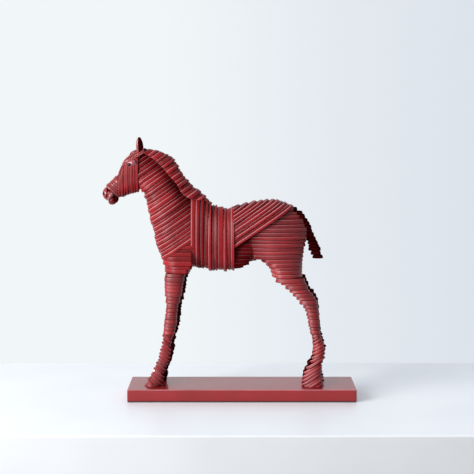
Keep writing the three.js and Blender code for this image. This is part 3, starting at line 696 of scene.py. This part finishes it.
# %% Slats of the neck
NECK_SLAT = {
    "pitch": 5.8, "step": 1.3, "depth": 1.1, "uneven": 0.2, "lean": 0.4, "ink": 0.7,
    "highlight": 0.6}
MANE_BLOCK = {
    "pitch": 6.8, "step": 1.8, "depth": 1.3, "uneven": 0.3, "lean": 0.5, "ink": 0.8,
    "highlight": 0.55, "stepped": 0.4}
CREST = [
    (-50, 304), (-66, 323), (-81, 335), (-95, 349.5), (-105, 367), (-113, 380.5), (-127, 388.5),
    (-146, 394.5), (-160, 395.5)]
crest_height = smooth_through([
    (-84, 314.5), (-100, 328.5), (-112, 345.5), (-125, 364), (-140, 383), (-152, 392), (-162, 396)])


def under_mane(x, y, z):
    """Painted shade under the mane: a bell 22 mm wide from 10 mm under the crest down."""
    return 0.55 * bell(crest_height(x) - z + BASE_TOP - 10, 22)


# %% Shoulder, neck and mane
slat_piece(
    "shoulder_slats", "shoulder", angle=SHOULDER["slope"], start=SHOULDER["foot"],
    end=NECK["foot"], slat=NECK_SLAT, seed=40,
    low=[(-129.5, 204), (-131, 207), (-137, 219.5), (-142.4, 233), (-145, 246.5), (-148, 261.5),
         (-152.5, 275.5)],
    high=[(-74, 200), (-74, 330)], half_widths=[(-108, 227.5, 33), (-84.5, 322, 34)],
    low_radii=[(-108, 227.5, 34), (-84.5, 322, 36)], high_radii=[(-108, 227.5, 4), (-84.5, 322, 4)],
    narrowed=lambda x, z: rounded(crest_height(x) - z + BASE_TOP, 80), shaded=under_mane,
    cuts=[ahead(UNDER_BAND[0])], edge_line=(moved_by(MANE_LINE, 2, 2), "high"))

slat_piece(
    "neck_slats", "neck", angle=NECK["slope"], start=NECK["foot"], end=(-160, 391), slat=NECK_SLAT,
    seed=41,
    low=[(-152, 276), (-154.8, 287), (-156.6, 294.5), (-158, 304.5), (-162, 316.5), (-164, 324),
         (-176, 333), (-187, 352), (-187, 375)],
    high=CREST,
    half_widths=[(-151, 276.5, 30), (-157, 305, 25), (-165, 333, 19), (-172, 355, 16.5),
                 (-160, 391, 14)],
    low_radii=[(-151, 276.5, 30), (-165, 333, 20), (-160, 391, 14)],
    high_radii=[(-151, 276.5, 4), (-160, 391, 4)],
    narrowed=lambda x, z: rounded(crest_height(x) - z + BASE_TOP, 75), shaded=under_mane,
    cuts=[behind(CHEEK_BACK - 3), below(BROW), ahead(UNDER_BAND[0])],
    edge_line=(moved_by(MANE_LINE, 2, 2), "high"))

slat_piece(
    "mane_blocks", "mane", angle=35, start=(-52, 303), end=(-162, 398), slat=MANE_BLOCK, seed=42,
    low=moved_by(MANE_LINE, -6, -8), high=CREST,
    half_widths=[(-52, 303, 13), (-80, 325, 17), (-130, 380, 17), (-160, 391, 13)],
    low_radii=[(-52, 303, 8), (-160, 391, 8)],
    high_radii=[(-52, 303, 12), (-100, 350, 24), (-160, 391, 16)],
    # Painted shade on the blocks at the poll, within a bell 6 mm wide behind the ear.
    shaded=lambda x, y, z: 0.9 * bell(np.hypot(x + 161, z - BASE_TOP - 395), 6),
    cuts=[behind(POLL_BACK + 2 * GAP)],
    edge_line=(MANE_LINE[:-2] + [(-62, 309.5), (-50, 299)], "low"))

# %% [markdown]
# Head
#
# The head follows the photograph: upright slats on the cheeks, strips over the brow, and fine
# slats round the muzzle. The nose, chin, ears and eyes are smooth.

# %% Slats of the head
FACE_SLAT = {
    "pitch": 4.3, "step": 0.4, "depth": 0.6, "uneven": 0.24, "lean": 0.1, "ink": 0.45,
    "highlight": 0.05, "stepped": 0.35}
BROW_SLAT = {
    "pitch": 3.4, "step": 0.4, "depth": 0.7, "uneven": 0.2, "lean": 0.25, "ink": 1.0,
    "highlight": 0.5, "stepped": 0.35, "end_ink": 0}
NOSE_SLAT = {
    "pitch": 3.9, "step": 0.4, "depth": 0.6, "uneven": 0.18, "lean": 0.25, "ink": 1.0,
    "highlight": 0.4, "stepped": 0.5}

slat_piece(
    "cheek_slats", "cheeks", angle=90, start=(CHEEK_BACK, 0), end=(CHEEK_FRONT, 0), slat=FACE_SLAT,
    seed=50,
    low=[(-205, 314), (-201, 316), (-196, 316), (-190, 319), (-180, 322), (-171, 324)],
    high=[(-171, 392), (-180, 391), (-190, 386), (-197, 375), (-202, 364), (-205, 354)],
    half_widths=[(-171, 0, 16.5), (-185, 0, 16.5), (-205, 0, 14)],
    low_radii=[(-171, 0, 22), (-205, 0, 16)],
    high_radii=[(-171, 0, 44), (-190, 0, 36), (-205, 0, 22)], cuts=[below(BROW)])

slat_piece(
    "forehead_slats", "forehead", angle=BROW["slope"], start=BROW["foot"], end=(-185, 390),
    slat=BROW_SLAT, seed=51,
    low=[(-202, 364), (-200, 368.5), (-195, 377.5), (-188, 384.5), (-185, 389.5)],
    high=[(-150, 378.5), (-160, 396.5), (-166, 396.5), (-172, 395.5), (-178, 393.5)],
    half_widths=[(-172, 379.5, 14), (-185, 390, 9)], low_radii=[(-172, 379.5, 14), (-185, 390, 10)],
    high_radii=[(-172, 379.5, 8), (-185, 390, 10)], cuts=[ahead(POLL_BACK)], finish=GLOSS)

slat_piece(
    "muzzle_slats", "muzzle", angle=NOSE_BACK["slope"], start=NOSE_BACK["foot"], end=(-203, 358),
    slat=NOSE_SLAT, seed=52,
    low=[(-231, 325), (-229, 329.5), (-227, 334), (-219, 341.5), (-210, 350.5), (-206, 353),
         (-203, 357)],
    high=[(-214, 307), (-208, 311), (-203, 315), (-196, 322), (-180, 340)],
    half_widths=[(-229, 329.5, 11), (-219, 341.5, 11.5), (-203, 358, 14)],
    cuts=[ahead(CHEEK_FRONT - GAP)], finish=GLOSS)

# %% [markdown]
# Nose and chin
#
# The nose and the chin are smooth swellings that meet at the mouth. Each is an egg whose rings run
# along its length, and small lumps and dents are pushed out and in: the nostril with its rim, the
# hollow behind it, and the lip. Sculpting would do too, but a formula keeps both sides alike.


# %% A smooth egg with dents
def egg(radii, tip, place, centre=0.0, rows=40, around=56, relief=None):
    """Rings about the x axis: x = a cos(v), and the ring's radius is sin(v) times the side radii.
    The egg is then turned about y by tip and moved. relief(x, y, z) gives how far each point
    moves outward, how much it is darkened by lacquer pooling there and by painted shade, and how
    much painted highlight it gets."""
    length, width, height = radii
    v = np.linspace(0.02, math.pi - 0.02, rows)[:, None]
    ring = (np.arange(around) + 0.5) / around * 2 * math.pi
    points = np.stack([
        length * np.cos(v) + 0 * ring,
        width * np.sin(v) * np.sin(ring),
        height * np.sin(v) * np.cos(ring)], axis=-1)
    pooled_and_shaded = highlight = 0.0
    if relief:
        outward = points / np.square([length, width, height])
        outward /= np.linalg.norm(outward, axis=-1, keepdims=True)
        push, pooled_and_shaded, highlight = relief(*np.moveaxis(points, -1, 0))
        points = points + outward * push[..., None]
    x, y, z = np.moveaxis(points, -1, 0)
    x, z = turned(tip, x, z)
    rings = np.stack([x + place[0], y + centre, z + place[1] + BASE_TOP], axis=-1)
    values = {"groove": pooled_and_shaded, "painted_highlight": highlight, "tone": 0.15, "painted_shade": 0.0}
    return rings, values, np.stack([v * length + 0 * ring, 0 * v + ring * height], axis=-1)


def pressed_to(rings, cuts):
    """Moves what lies past each cut straight back onto its line, which leaves a flat face there."""
    for angle, point, keep in cuts:
        x, y, z = np.moveaxis(rings, -1, 0)
        off = along_slat(angle, point)[1] - turned(angle, x, z)[1]
        off = np.maximum(off, 0) if keep == "above" else np.minimum(off, 0)
        move_x, move_z = turned(-angle, 0, off)
        rings = np.stack([x + move_x, y, z + move_z], axis=-1)
    return rings


# %% Nose and chin
NOSE = {"radii": [12.6, 10.8, 12.6], "tip": -45, "place": (-219.3, 321.6), "rows": 64, "around": 72}
CHIN = {"radii": [10.8, 8.3, 7.8], "tip": -47, "place": (-213.4, 312.2)}


def off_line(x, z, start, end):
    """The distance of a point from a straight piece between two points."""
    start, end = np.array(start, float), np.array(end, float)
    along = end - start
    t = ((x - start[0]) * along[0] + (z - start[1]) * along[1]) / np.sum(along ** 2)
    t = np.clip(t, 0, 1)
    return np.hypot(x - start[0] - t * along[0], z - start[1] - t * along[1])


def nose_relief(x, y, z):
    """On each side a lump between the nostril and a hollow behind it, and under them a fold and
    the lip. Lengths are millimetres from the middle of the nose, x up the face and z forward."""
    beside = np.clip(np.abs(y) / 4, 0, 1) ** 2
    lump = bell(np.hypot(x + 3.3, z - 4.7), 3.0)
    nostril = bell(off_line(x, z, (-7.2, 8.6), (-7.4, 6.4)), 1.6)
    hollow = bell(np.hypot(x - 5.2, z - 4.7), 2.6)
    fold = bell(off_line(x, z, (3.5, 7.8), (-6.9, -0.2)), 1.3)
    lip = bell(off_line(x, z, (3.3, -2.6), (-7.6, -4.8)), 1.9)
    push = beside * (1.3 * lump - 1.5 * nostril - 1.4 * hollow - 1.0 * fold + 1.2 * lip)
    # Painted shade, partly lacquer that pools there, in the nostril, the hollow and the fold, and a
    # painted highlight on the lump and the lip.
    pooled_and_shaded = beside * np.clip(1.2 * nostril + 0.9 * hollow + 0.9 * fold - 0.3 * lump, 0, 1)
    return push, pooled_and_shaded, beside * np.clip(0.5 * lump + 0.35 * lip - pooled_and_shaded, 0, 1)


def chin_relief(x, y, z):
    """The lower lip swells a little under the mouth, with a shallow fold behind it."""
    beside = np.clip(np.abs(y) / 4, 0, 1) ** 2
    fold = bell(off_line(x, z, (6.5, 3.0), (0.5, -4.0)), 1.5)
    push = beside * (0.5 * bell(np.hypot(x + 4, z - 1.5), 3) - 0.8 * fold)
    # Painted shade over the whole chin, rising along x and deeper in the fold.
    return push, np.clip(0.45 + 0.03 * x + 0.4 * fold, 0, 1), 0.0


def smooth_piece(name, node, rings, values, uv):
    """A smooth lacquered piece."""
    return make_piece(name, rings, node, GLOSS, values, uv, sharp=60)


rings, values, uv = egg(**NOSE, relief=nose_relief)
rings = pressed_to(rings, [below(NOSE_BACK, GAP), above(MOUTH, GAP)])
smooth_piece("nose_lobe", "nose", rings, values, uv)
rings, values, uv = egg(**CHIN, relief=chin_relief)
rings = pressed_to(rings, [below(NOSE_BACK, GAP), below(MOUTH), ahead(CHEEK_FRONT - GAP)])
smooth_piece("chin_lobe", "chin", rings, values, uv)

# %% [markdown]
# Ears
#
# An ear is a pointed leaf with a blunt ridge down its outer side, so that one face looks to the
# front and the other to the back. Each ring round it lies between an ellipse and a diamond, which
# a power in the ring's formula sets. A leaf cut from a cube by hand would need many loops for that.

# %% Ear leaves
EAR = {"length": 33.6, "radius": 5.3, "thick": 3.7, "foot": (-167.8, 382), "lean": -5, "splay": 8,
       "centre": 7.5, "ridge": 1.5, "power": 1.35}
ear_width = smooth_through([
    (0, 0.84), (0.25, 0.95), (0.5, 1), (0.66, 0.93), (0.79, 0.77), (0.9, 0.5), (0.97, 0.24),
    (1, 0.03)])


def ear_leaf(side, rows=44, around=64):
    """x = a w(t) c^(2/p) - ridge w(t) s^2 and y = b w(t) s^(2/p), where c and s are the cosine and
    the sine round the ring, p is the power, t runs up the ear and w is its width there."""
    t = (np.sin(np.linspace(-math.pi / 2, math.pi / 2, rows)) / 2 + 0.5)[:, None]
    v = (np.arange(around) + 0.5) / around * 2 * math.pi
    width, share = ear_width(t), 2 / EAR["power"]
    x = width * (EAR["radius"] * np.sign(np.cos(v)) * np.abs(np.cos(v)) ** share
                 - EAR["ridge"] * np.sin(v) ** 2)
    y = EAR["thick"] * width * np.sign(np.sin(v)) * np.abs(np.sin(v)) ** share
    z = EAR["length"] * t + 0 * v
    x, z = turned(EAR["lean"], x, z)
    y, z = turned(EAR["splay"], y, z)
    rings = np.stack([
        EAR["foot"][0] + x, side * (EAR["centre"] + y), EAR["foot"][1] + BASE_TOP + z], axis=-1)
    # Painted highlight on the front face, growing towards the tip, and painted shade on the back
    # face.
    front = np.clip(0.5 - 2 * np.cos(v), 0, 1) + 0 * t
    values = {"groove": 0.0, "painted_highlight": 0.25 * front * t, "tone": 0.15, "painted_shade": 0.75 * (1 - front)}
    return rings, values, np.stack([z, y], axis=-1)


for side, way in SIDES.items():
    smooth_piece(f"ear_leaf_{side}", f"ear_{side}", *ear_leaf(way))

# %% [markdown]
# Eyes
#
# The eye lies at the front of a smooth swelling under the brow. Ball, lids and swelling are one
# egg: the ball is a low bump with a sunk line round it, and painted shade turns the colour nearly
# black there and in the crease, which makes it read as an eye from a distance. The swelling is
# painted a lighter pink, a painted highlight.


# %% Lacquer of the eyes
def eye_lacquer():
    """Glossy red lacquer, IOR 1.5, drawn with clouds 3 mm wide. Where the groove value is low the
    colour is a light pink-red, a painted highlight, and as it rises from 0 to 1 it turns nearly
    black, rougher and less shiny, a painted shade."""
    material, tree, place = new_material("eye_lacquer")
    groove = add_node(tree, "ShaderNodeAttribute", attribute_name="groove").outputs["Fac"]
    cloud = add_node(tree, "ShaderNodeTexNoise", {"Vector": place, "Scale": 300.0, "Detail": 2.0})
    mixed = add_node(tree, "ShaderNodeMath", {0: cloud, 1: 0.12, 2: groove},
                     operation="MULTIPLY_ADD")
    # A painted highlight at the light end of the ramp and painted shade at the black end.
    colour = add_node(tree, "ShaderNodeValToRGB", {"Fac": mixed}, stops=[
        (0.0, "#A8505A"), (0.35, "#6A1A20"), (0.9, "#1C0406")])
    roughness = add_node(tree, "ShaderNodeMapRange", {
        "Value": mixed, "From Min": 0.1, "From Max": 0.9, "To Min": 0.2, "To Max": 0.3})
    bump = add_node(tree, "ShaderNodeBump", {"Height": cloud, "Strength": 0.05, "Distance": 0.0001})
    level = add_node(tree, "ShaderNodeMapRange", {"Value": mixed, "To Min": 0.8, "To Max": 0.2})
    shader = add_node(tree, "ShaderNodeBsdfPrincipled", {
        "Base Color": colour, "Roughness": roughness, "IOR": 1.5, "Specular IOR Level": level,
        "Normal": bump})
    add_node(tree, "ShaderNodeOutputMaterial", {"Surface": shader})
    return material


# %% Eyes
EYE = {"radii": [9.3, 3.6, 5.6], "tip": -14, "place": (-180.6, 372.2), "rows": 56, "around": 64}
EYE_OUT = 12.8


def eye_relief(x, y, z):
    """The ball is a low bump round (-6.2, -1.0), drawn out towards the front, in a sunk line 2.3 mm
    from its middle. Behind it the temple swells by 1 mm, and a short crease ends the swelling."""
    off_ball = np.hypot((x + 6.2) * 0.8, z + 1.0)
    crease = bell(off_line(x, z, (7.4, 3.2), (7.0, -0.5)), 1.2)
    temple = bell(np.hypot((x - 1.5) * 0.8, z - 0.6), 3.6)
    push = 0.3 * bell(off_ball, 1.5) - 0.6 * bell(off_ball - 2.3, 0.6)
    push = push + 1.0 * temple - 0.6 * crease
    # Painted shade over the ball and in the crease.
    return push, np.clip(np.clip(2.4 - off_ball / 1.5, 0, 1) + 0.8 * crease, 0, 1), 0.0


EYE_LACQUER = eye_lacquer()
for side, way in SIDES.items():
    rings, values, uv = egg(**EYE, centre=way * EYE_OUT, relief=eye_relief)
    make_piece(
        f"eye_and_lids_{side}", rings, f"eye_{side}", EYE_LACQUER, values, uv,
        sharp=60)

# %% [markdown]
# Base and felt
#
# The base is a plain board with eased edges, lacquered like the foal but flatter and a little
# lighter, under a thin clear coat. A cube with a Bevel modifier would look the same; here the
# rounded edge is written out as rings, so that the top keeps a truly flat reflection, and so that
# each ring can carry a painted highlight on the upper edge or painted shade on the lower one. The
# felt under it shows as a dark line.


# %% A slab with eased edges
def slab(length, width, bottom, top, edge, corner, ripple=0.0):
    """Rings from the bottom face up. Along the edge they are drawn in by e (1 - sin a) while they
    rise by e (1 - cos a), and two rings inside each flat face keep it flat. In plan the corners
    are quarter circles, and ripple makes the outline uneven. The edge value, a painted highlight,
    is 1 in the middle of the upper rounding, and the painted shade falls from 1 at the bottom to 0
    over the lower one."""
    arc = np.linspace(0, math.pi / 2, 7)
    quarter = np.concatenate([[edge + 4, edge + 1], edge * (1 - np.sin(arc))])
    rise = np.concatenate([[0, 0], edge * (1 - np.cos(arc))])
    inset = np.concatenate([quarter, quarter[::-1]])[:, None]
    z = np.concatenate([bottom + rise, top - rise[::-1]])[:, None]
    half_length, half_width = length / 2, width / 2
    end = corner * (1 - np.cos(arc))
    straight = np.linspace(-half_length, half_length, 42)[1:-1]
    s = np.concatenate([-half_length + end, straight, (half_length - end)[::-1]])
    side = corner * (np.sin(arc) - 1)
    across = half_width + np.concatenate([side, 0 * straight, side[::-1]])
    uneven = ripple * (np.sin(0.9 * s) + np.sin(2.3 * s + 1)) / 2
    x = s * (1 - inset / half_length)
    y = (across + uneven) * (1 - inset / half_width)
    rings = both_sides(x, y, z + 0 * x)
    flat, bend = np.zeros(2 + len(arc)), np.sin(arc)[::-1]
    # Painted highlight on the upper rounding, painted shade on the lower one.
    edge_highlight = np.concatenate([flat, np.sin(2 * arc), [0, 0]])
    bottom_shade = np.concatenate([[1, 1], bend, flat])
    return rings, {"edge": edge_highlight[:, None], "bottom_shade": bottom_shade[:, None]}


# %% Lacquer on the board
def board_lacquer():
    """Satin red lacquer on a smooth board: IOR 1.5, roughness near 0.35, with a thin clear coat."""
    material, tree, place = new_material("red_lacquer_on_board")
    edge, bottom_shade = (
        add_node(tree, "ShaderNodeAttribute", attribute_name=label).outputs["Fac"]
        for label in ("edge", "bottom_shade"))
    # Spray clouds are about 60 mm wide, and the peel is drawn 1.4 mm wide so that it shows.
    clouds = add_node(tree, "ShaderNodeTexNoise", {"Vector": place, "Scale": 16.0, "Detail": 4.0})
    face = add_node(tree, "ShaderNodeValToRGB", {"Fac": clouds}, stops=[
        (0.3, "#821216"), (0.7, "#8E171C")])
    # Painted highlight: the top edge mixes towards pale pink.
    highlight = add_node(tree, "ShaderNodeMath", {0: edge, 1: clouds}, operation="MULTIPLY")
    edged = add_node(tree, "ShaderNodeMix", {"Factor": highlight, 6: face, 7: linear("#DDA0A4")},
                     data_type="RGBA")
    # Painted shade: the lower edge turns nearly black.
    colour = add_node(tree, "ShaderNodeMix", {
        "Factor": bottom_shade, 6: edged.outputs[2], 7: linear("#2A0C0E")}, data_type="RGBA")
    roughness = add_node(tree, "ShaderNodeMapRange", {
        "Value": clouds, "To Min": 0.3, "To Max": 0.42})
    peel = add_node(tree, "ShaderNodeTexNoise", {"Vector": place, "Scale": 700.0, "Detail": 1.0})
    bump = add_node(tree, "ShaderNodeBump", {"Height": peel, "Strength": 0.06, "Distance": 0.0002})
    shader = add_node(tree, "ShaderNodeBsdfPrincipled", {
        "Base Color": colour.outputs[2], "Roughness": roughness, "IOR": 1.5,
        "Specular IOR Level": 0.3, "Coat Weight": 0.5, "Coat Roughness": 0.08, "Normal": bump})
    add_node(tree, "ShaderNodeOutputMaterial", {"Surface": shader})
    return material


# %% Felt
def black_felt():
    """Pressed wool felt: matt and slightly fuzzy, with fibres drawn 0.6 mm long."""
    material, tree, place = new_material("black_wool_felt")
    fibres = add_node(tree, "ShaderNodeTexNoise", {
        "Vector": place, "Scale": 1600.0, "Detail": 4.0, "Distortion": 2.0})
    patches = add_node(tree, "ShaderNodeTexNoise", {"Vector": place, "Scale": 60.0, "Detail": 2.0})
    mixed = add_node(tree, "ShaderNodeMath", {0: fibres, 1: patches}, operation="MULTIPLY")
    colour = add_node(tree, "ShaderNodeValToRGB", {"Fac": mixed}, stops=[
        (0.1, "#171415"), (0.45, "#2C2627")])
    bump = add_node(tree, "ShaderNodeBump", {"Height": fibres, "Strength": 0.6, "Distance": 0.0003})
    shader = add_node(tree, "ShaderNodeBsdfPrincipled", {
        "Base Color": colour, "Roughness": 0.95, "Sheen Weight": 0.4, "Normal": bump})
    add_node(tree, "ShaderNodeOutputMaterial", {"Surface": shader})
    return material


# %% Base and felt pieces
base_low, base_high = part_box("base_plate")
base_size = (base_high - base_low) / MM
FELT_INSET = 0.4
felt_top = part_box("base_felt")[1].z / MM
felt_length, felt_width = base_size.x - 2 * FELT_INSET, base_size.y - 2 * FELT_INSET
base_rings, base_values = slab(
    base_size.x, base_size.y, base_low.z / MM, BASE_TOP, edge=1.3, corner=1.6)
make_piece("base_board", base_rings, "base_plate", board_lacquer(), base_values)
felt_rings, felt_values = slab(
    felt_length, felt_width, 0, felt_top, edge=0.2, corner=1.6, ripple=0.15)
felt_sheet = make_piece("felt_sheet", felt_rings, "base_felt", black_felt(), felt_values)

# %% [markdown]
# Zinc-plated steel
#
# A bent rod in each leg, with a washer and a nut in the base, keeps the thin legs from snapping.
# These CAD nodes have the right shape, so they stay as they are and only get a new finish: zinc
# plating is a soft grey metal with fine scratches and cloudy patches.


# %% Steel finish
def zinc_plated_steel():
    """Plated steel: metallic 1, roughness near 0.35, with turning marks drawn 0.5 mm apart."""
    material, tree, place = new_material("zinc_plated_steel")
    clouds = add_node(tree, "ShaderNodeTexNoise", {"Vector": place, "Scale": 220.0, "Detail": 3.0})
    squeezed = add_node(tree, "ShaderNodeMapping", {
        "Vector": place, "Scale": (150.0, 150.0, 2000.0)})
    marks = add_node(tree, "ShaderNodeTexNoise", {"Vector": squeezed, "Scale": 1.0})
    colour = add_node(tree, "ShaderNodeValToRGB", {"Fac": clouds}, stops=[
        (0.3, "#A9ADB0"), (0.7, "#C9CCCE")])
    roughness = add_node(tree, "ShaderNodeMapRange", {
        "Value": marks, "To Min": 0.25, "To Max": 0.5})
    bump = add_node(tree, "ShaderNodeBump", {"Height": marks, "Strength": 0.2, "Distance": 0.0002})
    shader = add_node(tree, "ShaderNodeBsdfPrincipled", {
        "Base Color": colour, "Metallic": 1.0, "Roughness": roughness, "Normal": bump})
    add_node(tree, "ShaderNodeOutputMaterial", {"Surface": shader})
    return material


STEEL = zinc_plated_steel()
steel_names = [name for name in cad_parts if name.startswith(("rod_", "washer_", "nut_"))]
for name in steel_names:
    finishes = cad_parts[name].data.materials
    finishes.clear()
    finishes.append(STEEL)
print(len(steel_names), "steel pieces")

# %% [markdown]
# Camera, light and background
#
# The camera was fitted to the eight visible corners of the base: it stands about two metres off,
# half a metre up, and looks down a little more than six degrees. The light is a large soft window
# on the left, with a weak fill from the front and a small lamp above. The background is a pale
# gradient in the world, which could also be a curved sheet of paper, but a world has no far edge.
# The table is a pale slab that keeps the foal's shadow.

# %% Camera
CAMERA_PLACE, LOOKS_DOWN, LENS = (-0.00823, -1.9436, 0.4832), 6.254, 88.92
camera_data = bpy.data.cameras.new("camera")
camera_data.sensor_width = 36
camera_data.lens = LENS
camera = add_object("camera", camera_data)
camera.location = CAMERA_PLACE
camera.rotation_euler = (math.radians(90 - LOOKS_DOWN), 0, 0)
bpy.context.scene.camera = camera
bpy.context.scene.view_settings.view_transform = "Standard"
print("The camera looks down by", LOOKS_DOWN, "degrees")


# %% World
def pale_world():
    """Brightness on the object = 0.1 + 1.1 y - 0.1 x + 0.55 z of the direction and at least 0.02,
    so the wall behind and the window side are bright and the room in front is dim. Camera, glossy
    and transmission rays see a cool gradient from left to right instead."""
    world = bpy.data.worlds.new("pale_room")
    world.use_nodes = True
    tree = world.node_tree
    tree.nodes.clear()
    direction = add_node(tree, "ShaderNodeTexCoord").outputs["Generated"]
    split = add_node(tree, "ShaderNodeSeparateXYZ", {"Vector": direction})
    across = add_node(tree, "ShaderNodeMapRange", {
        "Value": split.outputs["X"], "From Min": -0.2, "From Max": 0.2})
    seen = add_node(tree, "ShaderNodeValToRGB", {"Fac": across}, stops=[
        (0.0, "#F2F6F8"), (0.35, "#F1F6F8"), (0.7, "#E4EAF0"), (1.0, "#DDE3EB")])
    slant = add_node(tree, "ShaderNodeVectorMath", {0: direction, 1: (-0.1, 1.1, 0.55)},
                     operation="DOT_PRODUCT")
    light = add_node(tree, "ShaderNodeMath", {0: slant.outputs["Value"], 1: 0.1}, operation="ADD")
    floored = add_node(tree, "ShaderNodeMath", {0: light, 1: 0.02}, operation="MAXIMUM")
    path = add_node(tree, "ShaderNodeLightPath")
    mirrored = add_node(tree, "ShaderNodeMath", {
        0: path.outputs["Is Glossy Ray"], 1: path.outputs["Is Transmission Ray"]}, operation="ADD")
    shown = add_node(tree, "ShaderNodeMath", {0: path.outputs["Is Camera Ray"], 1: mirrored},
                     operation="ADD", use_clamp=True)
    room = add_node(tree, "ShaderNodeBackground", {
        "Color": linear("#E8EFF8"), "Strength": floored})
    backdrop = add_node(tree, "ShaderNodeBackground", {"Color": seen, "Strength": 1.0})
    both = add_node(tree, "ShaderNodeMixShader", {0: shown, 1: room, 2: backdrop})
    add_node(tree, "ShaderNodeOutputWorld", {"Surface": both})
    return world


bpy.context.scene.world = pale_world()


# %% Lamps
def soft_lamp(name, place, size, power, target=(0, 0, 0.22)):
    """A square area lamp that faces the target. Lengths are metres."""
    lamp = bpy.data.lights.new(name, "AREA")
    lamp.size = size
    lamp.energy = power
    lamp.color = linear("#FDFDFF")[:3]
    held = add_object(name, lamp)
    held.location = place
    away = held.location - type(held.location)(target)
    held.rotation_euler = away.to_track_quat("Z", "Y").to_euler()
    print(f"{name}: {power} W")


soft_lamp("window", place=(-2.5, -1.8, 1.1), size=2.2, power=172)
soft_lamp("fill", place=(-0.9, -3.4, 0.5), size=2.4, power=14)
soft_lamp("ceiling", place=(0.9, -0.6, 2.2), size=1.0, power=6)

# %% Table
def table_material():
    """Pale satin paint on board, whose faint clouds are 200 mm wide."""
    material, tree, place = new_material("white_painted_board")
    cloud = add_node(tree, "ShaderNodeTexNoise", {"Vector": place, "Scale": 5.0, "Detail": 2.0})
    colour = add_node(tree, "ShaderNodeValToRGB", {"Fac": cloud}, stops=[
        (0.3, "#EDF0F3"), (0.7, "#F4F6F8")])
    shader = add_node(tree, "ShaderNodeBsdfPrincipled", {"Base Color": colour, "Roughness": 0.42})
    add_node(tree, "ShaderNodeOutputMaterial", {"Surface": shader})
    return material


# The profile (y, z) has an eased front edge and runs along x from one end to the other, in metres.
TABLE_LENGTH = 3.2
front, back, drop, ease = -0.247, 0.2546, 0.4, 0.002
profile = np.array([
    (back, -drop), (back, 0), (front + ease, 0), (front + 0.3 * ease, -0.3 * ease), (front, -ease),
    (front, -drop)])
corners = len(profile)
ends = [
    np.column_stack([np.full(corners, x), profile]) for x in (-TABLE_LENGTH / 2, TABLE_LENGTH / 2)]
row = np.arange(corners)
after = (row + 1) % corners
walls = np.stack([row, row + corners, after + corners, after], axis=-1).tolist()
table_mesh = bpy.data.meshes.new("table")
table_mesh.from_pydata(
    np.concatenate(ends), [], walls + [row[::-1].tolist(), (row + corners).tolist()])
table_mesh.materials.append(table_material())
table = add_object("table", table_mesh)
print("The table is", TABLE_LENGTH, "m long")
